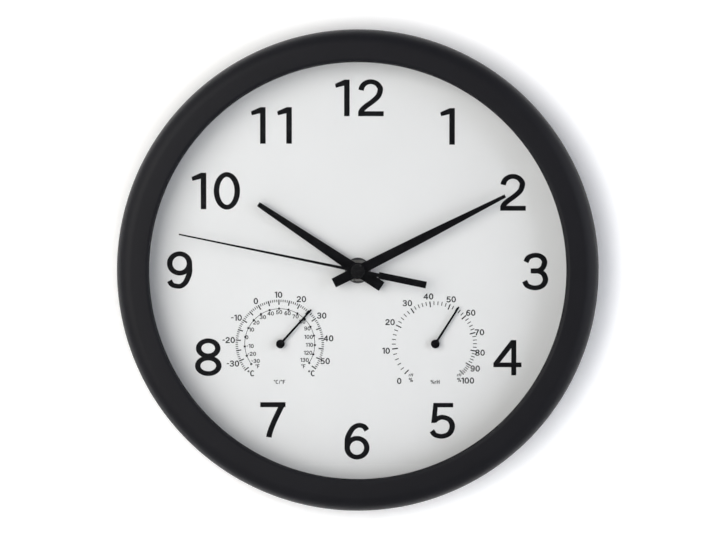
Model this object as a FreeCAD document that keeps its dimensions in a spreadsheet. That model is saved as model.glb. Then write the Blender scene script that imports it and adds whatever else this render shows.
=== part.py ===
import FreeCAD, Part
import math
import os
import re
import Sketcher

# Round wall clock with a thermometer and a hygrometer on one dial, in millimetres.
# Each piece is drawn in the clock's own frame: x to the viewer's right, y up, z from the wall
# towards the viewer, with its zero on the dial's axis at the wall. The whole is then turned so
# that the dial faces minus Y, with the origin where the wall hook bears in the keyhole.

# Driving lengths
lengths = {
    # front frame
    "front_wall": 2.0,
    "opening_radius": 109.8,
    "lip_chamfer": 1.1,
    "roll_radius": 8.5,
    "skirt_draft": 0.8,
    "skirt_wall": 1.7,
    "skirt_back": 1.2,
    "guide_gap": 0.5,
    "guide_wall": 1.6,
    "guide_depth": 6.0,
    "case_boss_radius": 3.2,
    "case_boss_bore": 1.5,
    "case_boss_margin": 1.5,
    # back case
    "wall_gap": 1.0,
    "sight_step": 0.4,
    "tray_wall": 2.3,
    "floor_thick": 2.0,
    "flange_back": 6.0,
    "flange_thick": 2.0,
    "flange_gap": 0.4,
    "flange_hole": 1.7,
    "rib_thick": 1.8,
    "rib_depth": 6.0,
    "fence_thick": 1.6,
    "fence_length": 22.0,
    "fence_depth": 5.0,
    "fence_gap": 0.3,
    # hook box with the keyhole
    "hook_rim_gap": 18.2,
    "hook_box_half": 13.0,
    "hook_box_above": 8.0,
    "hook_box_below": 18.0,
    "hook_box_back": 2.0,
    "hook_box_wall": 2.0,
    "keyhole_slot_half": 2.3,
    "keyhole_round_radius": 4.5,
    "keyhole_round_drop": 9.0,
    # glass and dial
    "glass_thick": 2.0,
    "glass_gap": 0.4,
    "glass_clear": 1.05,
    "glass_chamfer": 0.3,
    "dial_thick": 0.8,
    "dial_gap": 0.2,
    "dial_centre_hole": 4.3,
    "dial_arbor_hole": 1.3,
    # case screws
    "screw_head_radius": 3.0,
    "screw_head_depth": 1.8,
    "screw_shank_radius": 1.4,
    "screw_length": 16.0,
    # movement housing
    "movement_corner": 4.0,
    "movement_wall": 1.2,
    "cover_thick": 1.2,
    "cover_lip_depth": 1.2,
    "cover_lip_wall": 1.0,
    "cover_lip_gap": 0.2,
    "cover_corner": 1.5,
    "bay_end_wall": 1.1,
    "bay_low_wall": 0.9,
    "bay_gap": 0.15,
    "bay_floor_gap": 0.15,
    "bay_side_wall": 1.0,
    "bay_notch_half": 5.0,
    "bay_notch_depth": 4.5,
    # bush, washer and nut
    "bush_radius": 4.0,
    "bush_length": 5.2,
    "bush_flange_radius": 6.5,
    "bush_flange_thick": 1.0,
    "bush_hole_gap": 0.05,
    "washer_radius": 6.7,
    "washer_thick": 0.5,
    "washer_chamfer": 0.2,
    "nut_across": 11.0,
    "nut_thick": 2.0,
    "nut_chamfer": 0.5,
    # train
    "arbor_radius": 0.5,
    "arbor_sink": 0.6,
    "arbor_gap": 0.05,
    "wheel_thick": 0.8,
    "level_step": 1.6,
    "train_start": 1.8,
    "train_end": 3.4,
    "leaf_margin": 0.2,
    "seconds_shaft_radius": 0.5,
    "cannon_bore": 0.6,
    "cannon_radius": 1.75,
    "cannon_collar_radius": 2.4,
    "cannon_collar_thick": 0.25,
    "rim_gap": 0.03,
    "rim_hub_radius": 2.6,
    "pipe_gap": 0.06,
    "pipe_radius": 2.5,
    "bush_bore_gap": 0.08,
    "setting_arbor_radius": 1.0,
    "setting_knob_radius": 4.6,
    "setting_knob_thick": 2.2,
    "setting_knob_gap": 0.4,
    "setting_notch_radius": 0.7,
    # motor
    "magnet_thick": 1.6,
    "rotor_hole_gap": 0.5,
    "stator_thick": 1.0,
    "stator_post_radius": 0.9,
    "bobbin_flange_thick": 0.6,
    "bobbin_gap": 0.15,
    # circuit
    "board_thick": 0.8,
    "board_lift": 1.5,
    "chip_thick": 1.0,
    "crystal_radius": 1.0,
    # battery and contacts
    "battery_length": 50.5,
    "battery_end_room": 1.65,
    "battery_nub_radius": 2.7,
    "battery_nub_length": 1.4,
    "battery_edge": 0.5,
    "contact_thick": 0.4,
    "contact_half": 5.5,
    "contact_low": 2.0,
    "contact_bump_radius": 2.2,
    "contact_gap": 0.1,
    # hands
    "hour_hand_tail": 14.9,
    "hour_hand_root_half": 2.6,
    "hour_hand_tip_half": 1.2,
    "hour_hand_tail_half": 2.2,
    "minute_hand_tail": 14.0,
    "minute_hand_root_half": 2.6,
    "minute_hand_tip_half": 1.0,
    "minute_hand_tail_half": 2.25,
    "second_hand_half": 0.36,
    "second_hand_tail": 36.2,
    "second_bar_start": 11.0,
    "second_bar_root_half": 1.25,
    "second_bar_end_half": 1.45,
    "hand_thick": 0.5,
    "second_hand_thick": 0.35,
    "hand_hub_radius": 4.2,
    "hand_collet_wall": 0.7,
    "hand_collet_depth": 1.1,
    "hand_fit": 0.02,
    "hour_hand_lift": 0.8,
    "minute_hand_lift": 1.5,
    "second_hand_lift": 2.0,
    "hub_cap_radius": 3.65,
    "hub_cap_above": 1.5,
    "hub_cap_edge": 0.35,
    "hub_tube_radius": 1.0,
    "hub_tube_length": 0.9,
    # instruments
    "instrument_beside": 12.4,
    "instrument_below": 10.3,
    "collar_bore": 13.6,
    "collar_wall": 1.4,
    "collar_depth": 10.0,
    "bridge_thick": 1.2,
    "bridge_boss_radius": 2.4,
    "bridge_boss_rise": 2.0,
    "bridge_ear_reach": 17.0,
    "bridge_ear_radius": 2.3,
    "bridge_screw_bore": 0.9,
    "bridge_screw_radius": 0.8,
    "bridge_screw_head_radius": 1.9,
    "bridge_screw_head_depth": 1.3,
    "bridge_screw_length": 7.0,
    "vent_inner": 5.0,
    "vent_outer": 11.5,
    "vent_half": 1.3,
    "stud_half": 0.7,
    "stud_gap": 0.1,
    "pointer_arbor_radius": 0.6,
    "pointer_arbor_gap": 0.06,
    "pointer_arbor_sink": 0.7,
    "collet_radius": 1.5,
    "coil_strip_thick": 0.35,
    "coil_strip_width": 4.0,
    "coil_pitch": 2.0,
    "coil_lift": 3.0,
    "coil_fit": 0.03,
    "pointer_hub_radius": 2.25,
    "pointer_hub_thick": 2.3,
    "pointer_hub_lift": 0.7,
    "pointer_hub_edge": 0.4,
    "pointer_blade_lift": 0.8,
    "pointer_blade_thick": 0.4,
    "pointer_cap_thick": 0.6,
    "pointer_root_half": 0.6,
    "pointer_tip_half": 0.45,
    "thermometer_pointer_length": 24.1,
    "hygrometer_pointer_length": 22.9,
    # one overrun for every cut that leaves a face
    "overrun": 1.0,
}

# Driving counts
counts = {
    "case_screw_count": 6,
    "rib_count": 8,
    "fence_count": 4,
    "vent_count": 6,
    "knob_notch_count": 12,
    "coil_half_turns": 9,
    "seconds_teeth": 60,
    "intermediate_leaves": 10,
    "intermediate_teeth": 60,
    "rotor_leaves": 12,
    "seconds_leaves": 8,
    "third_teeth": 60,
    "third_leaves": 8,
    "centre_teeth": 64,
    "cannon_leaves": 12,
    "reverser_teeth": 36,
    "reverser_leaves": 10,
    "hour_teeth": 40,
    "setting_leaves": 12,
}

# Shares of a larger size: teeth of the module, the screw head of its radius, the ring rib of the
# tray's bore, the hands of the opening's radius, the battery's radius of its length
form_shares = {
    "addendum_share": 0.8,
    "dedendum_share": 1.2,
    "tooth_root_share": 0.8,
    "tooth_tip_share": 0.3,
    "tooth_sink_share": 0.3,
    "screw_head_share": 0.75,
    "ring_rib_share": 0.69,
    "hour_hand_share": 0.5665,
    "minute_hand_share": 0.7814,
    "second_hand_share": 0.8607,
    "battery_share": 0.1436,
}

# Places and radii inside the movement as shares of half its width
movement_shares = {
    "intermediate_reach": 0.4375,
    "rotor_reach": 0.38571,
    "third_reach": 0.425,
    "reverser_reach": 0.42857,
    "setting_reach": 0.42857,
    "magnet_radius": 0.10714,
    "stator_left": 0.15714,
    "stator_right": 0.91429,
    "stator_low": 0.32857,
    "stator_bar": 0.08571,
    "stator_window_low": 0.63929,
    "stator_arm": 0.07143,
    "coil_up": 0.83571,
    "coil_radius": 0.09643,
    "bobbin_core_radius": 0.0625,
    "bobbin_flange_radius": 0.1,
    "board_left": 0.92857,
    "board_right": 0.48571,
    "board_low": 0.21429,
    "board_high": 0.92857,
    "board_peg_radius": 0.05,
    "chip_across": 0.66071,
    "chip_up": 0.75,
    "chip_radius": 0.09286,
    "crystal_across": 0.80357,
    "crystal_low": 0.32143,
    "crystal_length": 0.21429,
}

# Directions in degrees, anticlockwise from the viewer's right
angles = {
    "intermediate_angle": 20.0,
    "rotor_angle": 60.0,
    "third_angle": 160.0,
    "reverser_angle": 90.0,
    "setting_angle": 150.0,
    "first_rib_angle": 22.5,
    "first_case_screw_angle": 60.0,
    # clockwise from twelve, as the photograph shows the hands and pointers
    "hour_hand_angle": 303.8,
    "minute_hand_angle": 63.06,
    "second_hand_angle": 281.6,
    "thermometer_pointer_angle": 42.0,
    "hygrometer_pointer_angle": 32.4,
}

# Named places worked out from the driving sizes
formulas = {
    "movement_half": "battery_length / 2 + battery_end_room + bay_end_wall",
    "battery_radius": "battery_share * battery_length",
    "movement_depth": "cover_thick + train_start + 5 * level_step + wheel_thick + train_end + movement_wall",
    "floor_back": "wall_gap + setting_knob_thick + setting_knob_gap + movement_depth",
    "instrument_across": "movement_half + instrument_beside",
    "instrument_down": "movement_half + instrument_below",
    "hour_hand_length": "hour_hand_share * opening_radius",
    "minute_hand_length": "minute_hand_share * opening_radius",
    "second_hand_length": "second_hand_share * opening_radius",
    "front_level": "seconds_shaft_front + hub_cap_above + glass_clear + glass_thick + front_wall",
    "seat_level": "front_level - front_wall",
    "glass_back": "seat_level - glass_thick",
    "roll_start": "case_radius - roll_radius",
    "roll_level": "front_level - roll_radius",
    "skirt_shell": "skirt_draft + skirt_wall",
    "case_radius": "guide_outer + 2 * case_boss_radius + case_boss_margin + skirt_shell",
    "skirt_outer": "case_radius - skirt_draft",
    "skirt_bore": "case_radius - skirt_shell",
    "inner_roll_radius": "roll_radius - skirt_shell",
    "roof_level": "front_level - skirt_shell",
    "tray_bore": "opening_radius + sight_step",
    "tray_outer": "tray_bore + tray_wall",
    "axis_drop": "tray_bore - hook_rim_gap",
    "ring_rib_radius": "ring_rib_share * tray_bore",
    "guide_bore": "tray_outer + guide_gap",
    "guide_outer": "guide_bore + guide_wall",
    "guide_back": "seat_level - guide_depth",
    "case_boss_ring": "(guide_outer + skirt_bore) / 2",
    "glass_radius": "guide_bore - glass_gap",
    "flange_radius": "skirt_bore - flange_gap",
    "flange_front": "flange_back + flange_thick",
    "floor_front": "floor_back + floor_thick",
    "dial_front": "floor_front + dial_thick",
    "dial_radius": "tray_bore - dial_gap",
    "ring_rib_outer": "ring_rib_radius + rib_thick",
    "fence_inner": "movement_half + fence_gap",
    "fence_outer": "fence_inner + fence_thick",
    "slot_centre_up": "axis_drop - keyhole_slot_half",
    "round_centre_up": "axis_drop - keyhole_round_drop",
    "hook_box_top": "axis_drop + hook_box_above",
    "hook_box_bottom": "axis_drop - hook_box_below",
    "hook_plate_front": "hook_box_back + hook_box_wall",
    "movement_back": "floor_back - movement_depth",
    "cover_front": "movement_back + cover_thick",
    "housing_front": "floor_back - movement_wall",
    "housing_bore": "movement_half - movement_wall",
    "bay_half": "movement_half - bay_end_wall",
    "bay_low": "movement_half - bay_low_wall",
    "battery_down": "bay_low - bay_gap - battery_radius",
    "bay_high": "battery_down - battery_radius - bay_gap",
    "bay_wall_high": "bay_high - bay_side_wall",
    "battery_level": "housing_front - bay_floor_gap - battery_radius",
    "seconds_level": "cover_front + train_start",
    "intermediate_level": "seconds_level + level_step",
    "third_level": "intermediate_level + level_step",
    "centre_level": "third_level + level_step",
    "motion_level": "centre_level + level_step",
    "hour_level": "motion_level + level_step",
    "leaf_height": "wheel_thick + 2 * leaf_margin",
    "arbor_back": "cover_front - arbor_sink",
    "arbor_front": "housing_front + arbor_sink",
    "seconds_module": "2 * intermediate_reach / (seconds_teeth + intermediate_leaves)",
    "intermediate_module": "2 * rotor_reach / (intermediate_teeth + rotor_leaves)",
    "third_module": "2 * third_reach / (third_teeth + seconds_leaves)",
    "centre_module": "2 * third_reach / (centre_teeth + third_leaves)",
    "motion_module": "2 * reverser_reach / (reverser_teeth + cannon_leaves)",
    "hour_module": "2 * reverser_reach / (hour_teeth + reverser_leaves)",
    "bush_front": "housing_front + movement_wall + bush_length",
    "bush_flange_back": "housing_front - bush_flange_thick",
    "bush_bore": "pipe_radius + bush_bore_gap",
    "washer_front": "dial_front + washer_thick",
    "nut_front": "washer_front + nut_thick",
    "pipe_bore": "cannon_radius + pipe_gap",
    "hour_hand_level": "nut_front + hour_hand_lift + hand_thick",
    "pipe_front": "hour_hand_level + hand_thick",
    "minute_hand_level": "pipe_front + minute_hand_lift",
    "cannon_front": "minute_hand_level + hand_thick",
    "second_hand_level": "cannon_front + second_hand_lift",
    "seconds_shaft_front": "second_hand_level + second_hand_thick",
    "stator_level": "third_level",
    "magnet_level": "stator_level + stator_thick / 2 - magnet_thick / 2",
    "rotor_hole": "magnet_radius + rotor_hole_gap",
    "stator_high": "coil_up + stator_bar / 2",
    "coil_level": "stator_level + stator_thick / 2",
    "coil_half": "(stator_right - stator_left) / 2 - stator_arm - bobbin_gap",
    "coil_across": "(stator_right + stator_left) / 2",
    "board_level": "cover_front + board_lift",
    "board_front": "board_level + board_thick",
    "chip_dome_radius": "(chip_radius ^ 2 + chip_thick ^ 2) / (2 * chip_thick)",
    "contact_back": "movement_back + contact_low",
    "contact_rise": "housing_front - contact_back - contact_low / 2",
    "setting_knob_back": "movement_back - setting_knob_gap - setting_knob_thick",
    "collar_outer": "collar_bore + collar_wall",
    "collar_back": "floor_back - collar_depth",
    "bridge_back": "collar_back - bridge_thick",
    "coil_back": "collar_back + coil_lift",
    "pointer_hub_back": "dial_front + pointer_hub_lift",
    "pointer_hub_front": "pointer_hub_back + pointer_hub_thick",
    "pointer_blade_back": "pointer_hub_back + pointer_blade_lift",
    "pointer_arbor_front": "pointer_hub_front - pointer_cap_thick",
    "coil_first_radius": "collet_radius + coil_fit + coil_strip_thick / 2",
    "coil_last_radius": "coil_first_radius + (coil_half_turns - 1) * coil_pitch / 2",
}

document = FreeCAD.newDocument("ThermometerHygrometerClock")
sheet = document.addObject("Spreadsheet::Sheet", "Sizes")
pieces = []


def fill_sheet():
    """Driving numbers first, then the formulas, each in a cell of its own name."""
    cells = {}
    for group in (lengths, counts, form_shares, angles):
        cells.update({alias: str(number) for alias, number in group.items()})
    cells.update({alias: f"={share} * movement_half" for alias, share in movement_shares.items()})
    cells.update({alias: "=" + formula for alias, formula in formulas.items()})
    for row, alias in enumerate(cells, start=1):
        sheet.set(f"A{row}", alias)
        sheet.setAlias(f"B{row}", alias)
    for row, content in enumerate(cells.values(), start=1):
        sheet.set(f"B{row}", content)
    document.recompute()


fill_sheet()


def size(text):
    """The value of a sum of named sizes, in millimetres."""
    return float(sheet.evalExpression(text))


def linked(text):
    """The same sum as an expression that follows the sheet."""
    return re.sub(r"\b[a-z]\w*\b(?!\()", r"Sizes.\g<0>", text)


# Bodies, sketches and features

def new_body(name, across="0", up="0", turn=0.0):
    """A body whose own axis stands at (across, up) on the dial, turned anticlockwise by turn."""
    item = document.addObject("PartDesign::Body", name)
    item.Label = name
    place_piece(item, across, up, "0", turn)
    return item


def place_piece(item, across, up, level, turn=0.0):
    """Stands a piece in the turned frame, with its place bound to the sheet."""
    facing = FreeCAD.Rotation(FreeCAD.Vector(1, 0, 0), 90)
    spin = FreeCAD.Rotation(FreeCAD.Vector(0, 0, 1), turn)
    base = FreeCAD.Vector(size(across), -size(level), size(f"{up} - axis_drop"))
    item.Placement = FreeCAD.Placement(base, facing.multiply(spin))
    item.setExpression("Placement.Base.x", linked(across))
    item.setExpression("Placement.Base.y", linked(f"0 - ({level})"))
    item.setExpression("Placement.Base.z", linked(f"{up} - axis_drop"))
    pieces.append(item)


def new_sketch(item, name, plane="XY", lift="0"):
    """An empty sketch on one of the body's own planes, lifted along the plane's normal."""
    sketch = item.newObject("Sketcher::SketchObject", f"{item.Name}_{name}")
    origin_plane = next(f for f in item.Origin.OriginFeatures if f.Role == plane + "_Plane")
    sketch.AttachmentSupport = [(origin_plane, "")]
    sketch.MapMode = "FlatFace"
    if lift != "0":
        sketch.setExpression("AttachmentOffset.Base.z", linked(lift))
    return sketch


def bind_point(sketch, line, end, across, up):
    """Fixes one point at named distances from the sketch's axes."""
    for kind, axis, text in (("DistanceX", -2, across), ("DistanceY", -1, up)):
        if text == "0":
            sketch.addConstraint(Sketcher.Constraint("PointOnObject", line, end, axis))
            continue
        place = sketch.addConstraint(Sketcher.Constraint(kind, -1, 1, line, end, size(text)))
        sketch.setExpression(f"Constraints[{place}]", linked(text))


def arc_between(start, end, radius, sense):
    """The short arc from start to end, anticlockwise where sense is 1."""
    chord = end - start
    middle = (start + end) / 2
    rise = math.sqrt(max(radius**2 - (chord.Length / 2) ** 2, 0))
    side = FreeCAD.Vector(-chord.y, chord.x, 0).normalize() * sense
    centre = middle + side * rise
    first, last = (start, end) if sense > 0 else (end, start)
    turns = [math.atan2(point.y - centre.y, point.x - centre.x) for point in (first, last)]
    circle = Part.Circle(centre, FreeCAD.Vector(0, 0, 1), radius)
    return Part.ArcOfCircle(circle, turns[0], turns[1])


def outline(sketch, corners):
    """A closed outline through corners (across, up), each bound by its named distances.

    A third entry is the radius of an arc to the next corner, anticlockwise, or clockwise
    where a fourth entry is -1."""
    points = [FreeCAD.Vector(size(corner[0]), size(corner[1]), 0) for corner in corners]
    first_line = sketch.GeometryCount
    ends = []
    for number, corner in enumerate(corners):
        start = points[number]
        end = points[(number + 1) % len(points)]
        if len(corner) == 2:
            sketch.addGeometry(Part.LineSegment(start, end))
            ends.append((1, 2))
            continue
        sense = corner[3] if len(corner) > 3 else 1
        sketch.addGeometry(arc_between(start, end, size(corner[2]), sense))
        ends.append((1, 2) if sense > 0 else (2, 1))
    for number, corner in enumerate(corners):
        line = first_line + number
        following = (number + 1) % len(corners)
        joined = (line, ends[number][1], first_line + following, ends[following][0])
        sketch.addConstraint(Sketcher.Constraint("Coincident", *joined))
        bind_point(sketch, line, ends[number][0], corner[0], corner[1])
        if len(corner) > 2:
            bind_radius(sketch, line, corner[2])
    return sketch


def bind_radius(sketch, line, radius):
    """Gives a circle or an arc its named radius."""
    place = sketch.addConstraint(Sketcher.Constraint("Radius", line, size(radius)))
    sketch.setExpression(f"Constraints[{place}]", linked(radius))


def circle(sketch, radius, across="0", up="0"):
    """A circle of a named radius at a named place."""
    centre = FreeCAD.Vector(size(across), size(up), 0)
    line = sketch.addGeometry(Part.Circle(centre, FreeCAD.Vector(0, 0, 1), size(radius)))
    if across == "0" and up == "0":
        sketch.addConstraint(Sketcher.Constraint("Coincident", line, 3, -1, 1))
    else:
        bind_point(sketch, line, 3, across, up)
    bind_radius(sketch, line, radius)
    return sketch


def box_outline(sketch, left, right, low, high):
    """A plain rectangle."""
    return outline(sketch, [(left, low), (right, low), (right, high), (left, high)])


def rounded_outline(sketch, left, right, low, high, corner):
    """A rectangle with equal round corners."""
    return outline(
        sketch,
        [
            (f"{left} + {corner}", low),
            (f"{right} - {corner}", low, corner),
            (right, f"{low} + {corner}"),
            (right, f"{high} - {corner}", corner),
            (f"{right} - {corner}", high),
            (f"{left} + {corner}", high, corner),
            (left, f"{high} - {corner}"),
            (left, f"{low} + {corner}", corner),
        ],
    )


def slot_outline(sketch, half, low, high):
    """An upright slot with round ends, whose end centres lie at low and high."""
    return outline(
        sketch,
        [
            (half, low),
            (half, high, half),
            ("0", f"{high} + {half}", half),
            (f"0 - {half}", high),
            (f"0 - {half}", low, half),
            ("0", f"{low} - {half}", half),
        ],
    )


def pad(item, sketch, length, backwards=False):
    """Raises a sketch towards the viewer, or towards the wall where backwards is set."""
    feature = item.newObject("PartDesign::Pad", sketch.Name + "_pad")
    feature.Profile = sketch
    feature.setExpression("Length", linked(length))
    feature.Reversed = backwards
    item.Tip = feature
    return feature


def pocket(item, sketch, depth, forwards=False):
    """Cuts a sketch towards the wall, or towards the viewer where forwards is set."""
    feature = item.newObject("PartDesign::Pocket", sketch.Name + "_pocket")
    feature.Profile = sketch
    feature.setExpression("Length", linked(depth))
    feature.Reversed = forwards
    item.Tip = feature
    return feature


def turned(item, sketch, axis="V_Axis"):
    """A full turn of a sketch about one of its axes."""
    feature = item.newObject("PartDesign::Revolution", sketch.Name + "_revolution")
    feature.Profile = sketch
    feature.ReferenceAxis = (sketch, [axis])
    feature.Angle = 360
    item.Tip = feature
    return feature


def around(item, feature, sketch, count):
    """Repeats a feature evenly about the body's axis."""
    pattern = item.newObject("PartDesign::PolarPattern", feature.Name + "_ring")
    pattern.Originals = [feature]
    pattern.Axis = (sketch, ["N_Axis"])
    pattern.Angle = 360
    pattern.setExpression("Occurrences", linked(count))
    item.Tip = pattern
    return pattern


def turned_section(item, name, corners):
    """A turned solid from its half section of (radius, level) corners."""
    sketch = new_sketch(item, name, "XZ")
    return turned(item, outline(sketch, corners))


def tube(item, name, outer, inner, back, front):
    """A plain ring or sleeve."""
    sketch = new_sketch(item, name, lift=back)
    circle(sketch, outer)
    circle(sketch, inner)
    return pad(item, sketch, f"{front} - ({back})")


def turn_sketch(sketch, angle):
    """Turns a sketch in its own plane by an angle held in the sheet."""
    sketch.setExpression("AttachmentOffset.Rotation.Angle", linked(angle))


# Front frame: a turned section with a chamfered lip, a flat face and a rolled edge

def build_front_frame():
    """Bezel moulded in one piece with the glass guide and the screw bosses."""
    frame = new_body("front_frame")
    turned_section(frame, "section", [
        ("opening_radius", "seat_level"),
        ("guide_bore", "seat_level"),
        ("guide_bore", "guide_back"),
        ("guide_outer", "guide_back"),
        ("guide_outer", "roof_level"),
        ("roll_start", "roof_level", "inner_roll_radius", -1),
        ("skirt_bore", "roll_level"),
        ("skirt_bore", "skirt_back"),
        ("skirt_outer", "skirt_back"),
        ("case_radius", "roll_level", "roll_radius"),
        ("roll_start", "front_level"),
        ("opening_radius + lip_chamfer", "front_level"),
        ("opening_radius", "front_level - lip_chamfer"),
    ])
    boss = new_sketch(frame, "boss", lift="flange_front")
    circle(boss, "case_boss_radius", "case_boss_ring")
    circle(boss, "case_boss_bore", "case_boss_ring")
    turn_sketch(boss, "first_case_screw_angle")
    around(frame, pad(frame, boss, "seat_level - flange_front"), boss, "case_screw_count")


def build_front_glass():
    """Flat disc under the lip, with its edges broken."""
    glass = new_body("front_glass")
    disc = circle(new_sketch(glass, "disc", lift="glass_back"), "glass_radius")
    raised = pad(glass, disc, "glass_thick")
    document.recompute()
    edge = glass.newObject("PartDesign::Chamfer", "front_glass_edge")
    edge.Base = (raised, [f"Edge{n}" for n, e in enumerate(raised.Shape.Edges, 1) if e.Closed])
    edge.setExpression("Size", linked("glass_chamfer"))
    glass.Tip = edge


def build_dial():
    """Printed disc with holes for the bush and the two pointer arbors."""
    dial = new_body("dial")
    disc = new_sketch(dial, "disc", lift="floor_front")
    circle(disc, "dial_radius")
    circle(disc, "dial_centre_hole")
    circle(disc, "dial_arbor_hole", "instrument_across", "0 - instrument_down")
    circle(disc, "dial_arbor_hole", "0 - instrument_across", "0 - instrument_down")
    pad(dial, disc, "dial_thick")


# Back case: floor behind the dial, ring wall that stands on the wall, and all that is moulded on it

def build_back_case():
    """Tray with its flange, ribs, movement fence, instrument collars and keyhole box."""
    case = new_body("back_case")
    turned_section(case, "section", [
        ("0", "floor_back"),
        ("tray_bore", "floor_back"),
        ("tray_bore", "0"),
        ("tray_outer", "0"),
        ("tray_outer", "flange_back"),
        ("flange_radius", "flange_back"),
        ("flange_radius", "flange_front"),
        ("tray_outer", "flange_front"),
        ("tray_outer", "glass_back"),
        ("tray_bore", "glass_back"),
        ("tray_bore", "floor_front"),
        ("0", "floor_front"),
    ])
    ring = new_sketch(case, "ring_rib", lift="floor_back")
    circle(ring, "ring_rib_outer")
    circle(ring, "ring_rib_radius")
    pad(case, ring, "rib_depth", backwards=True)
    spoke = new_sketch(case, "rib", lift="floor_back")
    box_outline(spoke, "ring_rib_radius + rib_thick / 2", "tray_bore + tray_wall / 2",
                "0 - rib_thick / 2", "rib_thick / 2")
    turn_sketch(spoke, "first_rib_angle")
    around(case, pad(case, spoke, "rib_depth", backwards=True), spoke, "rib_count")
    fence = new_sketch(case, "fence", lift="floor_back")
    box_outline(fence, "fence_inner", "fence_outer", "0 - fence_length / 2", "fence_length / 2")
    around(case, pad(case, fence, "fence_depth", backwards=True), fence, "fence_count")
    add_instrument_collars(case)
    add_keyhole_box(case)
    centre = circle(new_sketch(case, "bush_hole", lift="floor_front"), "dial_centre_hole")
    pocket(case, centre, "floor_thick")
    hole = circle(new_sketch(case, "screw_hole", lift="flange_front"), "flange_hole", "case_boss_ring")
    turn_sketch(hole, "first_case_screw_angle")
    around(case, pocket(case, hole, "flange_thick"), hole, "case_screw_count")


def add_instrument_collars(case):
    """Two collars behind the floor, each with two screw bosses and a bearing for the arbor."""
    down = "0 - instrument_down"
    for side, sign in (("left", "0 - "), ("right", "")):
        middle = f"{sign}instrument_across"
        ears = [f"{middle} - bridge_ear_reach", f"{middle} + bridge_ear_reach"]
        bosses = new_sketch(case, f"{side}_bosses", lift="floor_back")
        for ear in ears:
            circle(bosses, "bridge_ear_radius", ear, down)
        pad(case, bosses, "collar_depth", backwards=True)
        collar = circle(new_sketch(case, f"{side}_collar", lift="floor_back"), "collar_outer", middle, down)
        pad(case, collar, "collar_depth", backwards=True)
        room = circle(new_sketch(case, f"{side}_room", lift="collar_back"), "collar_bore", middle, down)
        pocket(case, room, "collar_depth", forwards=True)
        holes = new_sketch(case, f"{side}_holes", lift="collar_back")
        for ear in ears:
            circle(holes, "bridge_screw_bore", ear, down)
        pocket(case, holes, "collar_depth", forwards=True)
        bearing = new_sketch(case, f"{side}_bearing", lift="floor_front")
        circle(bearing, "pointer_arbor_radius + pointer_arbor_gap", middle, down)
        pocket(case, bearing, "floor_thick")


def add_keyhole_box(case):
    """A box behind the floor, open under the dial, with the keyhole in its back plate."""
    box = new_sketch(case, "hook_box", lift="floor_back")
    box_outline(box, "0 - hook_box_half", "hook_box_half", "hook_box_bottom", "hook_box_top")
    pad(case, box, "floor_back - hook_box_back", backwards=True)
    room = new_sketch(case, "hook_room", lift="floor_front")
    box_outline(room, "0 - hook_box_half + hook_box_wall", "hook_box_half - hook_box_wall",
                "hook_box_bottom + hook_box_wall", "hook_box_top - hook_box_wall")
    pocket(case, room, "floor_front - hook_plate_front")
    slot = slot_outline(new_sketch(case, "keyhole_slot", lift="hook_plate_front"),
                        "keyhole_slot_half", "round_centre_up", "slot_centre_up")
    pocket(case, slot, "hook_box_wall")
    entry = circle(new_sketch(case, "keyhole_entry", lift="hook_plate_front"),
                   "keyhole_round_radius", "0", "round_centre_up")
    pocket(case, entry, "hook_box_wall")


def build_screws(name, places, head_radius, head_depth, shank_radius, shank_length, seat):
    """A set of alike screws as separate solids, seat being the level of the head's underside."""
    base = size(seat)
    solids = []
    for across, up in places:
        foot = FreeCAD.Vector(across, up, base)
        toward_wall = FreeCAD.Vector(0, 0, -1)
        crown = size(head_radius) * size("screw_head_share")
        head = Part.makeCone(size(head_radius), crown, size(head_depth), foot, toward_wall)
        shank = Part.makeCylinder(size(shank_radius), size(shank_length), foot)
        solids.append(head.fuse(shank))
    item = document.addObject("Part::Feature", name)
    item.Label = name
    item.Shape = Part.makeCompound(solids)
    place_piece(item, "0", "0", "0")


def ring_places(radius, count, first_angle):
    """Evenly spaced places on a ring."""
    turns = [math.radians(size(first_angle) + 360 * k / size(count)) for k in range(int(size(count)))]
    return [(size(radius) * math.cos(turn), size(radius) * math.sin(turn)) for turn in turns]


# Movement housing

def build_movement_case():
    """Front half of the movement: an open box with a wall between the train and the battery."""
    case = new_body("movement_case")
    shell = new_sketch(case, "shell", lift="floor_back")
    rounded_outline(shell, "0 - movement_half", "movement_half", "0 - movement_half", "movement_half",
                    "movement_corner")
    pad(case, shell, "floor_back - cover_front", backwards=True)
    room = new_sketch(case, "train_room", lift="cover_front")
    box_outline(room, "0 - housing_bore", "housing_bore", "0 - bay_wall_high", "housing_bore")
    pocket(case, room, "housing_front - cover_front", forwards=True)
    bay = new_sketch(case, "battery_bay", lift="cover_front")
    box_outline(bay, "0 - bay_half", "bay_half", "0 - bay_low", "0 - bay_high")
    pocket(case, bay, "housing_front - cover_front", forwards=True)
    notch = new_sketch(case, "finger_notch", lift="cover_front")
    box_outline(notch, "0 - bay_notch_half", "bay_notch_half",
                "0 - movement_half - overrun", "0 - bay_low + bay_gap")
    pocket(case, notch, "bay_notch_depth", forwards=True)
    bush_hole = circle(new_sketch(case, "bush_hole", lift="floor_back"), "bush_radius + bush_hole_gap")
    pocket(case, bush_hole, "movement_wall")
    sockets = new_sketch(case, "sockets", lift="housing_front")
    add_socket_circles(sockets)
    pocket(case, sockets, "arbor_sink + arbor_gap", forwards=True)


def add_socket_circles(sketch):
    """Bearing circles of the arbors that span the housing."""
    for name in ("intermediate", "rotor", "third", "reverser"):
        across, up = train_places[name]
        circle(sketch, "arbor_radius + arbor_gap", across, up)


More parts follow.
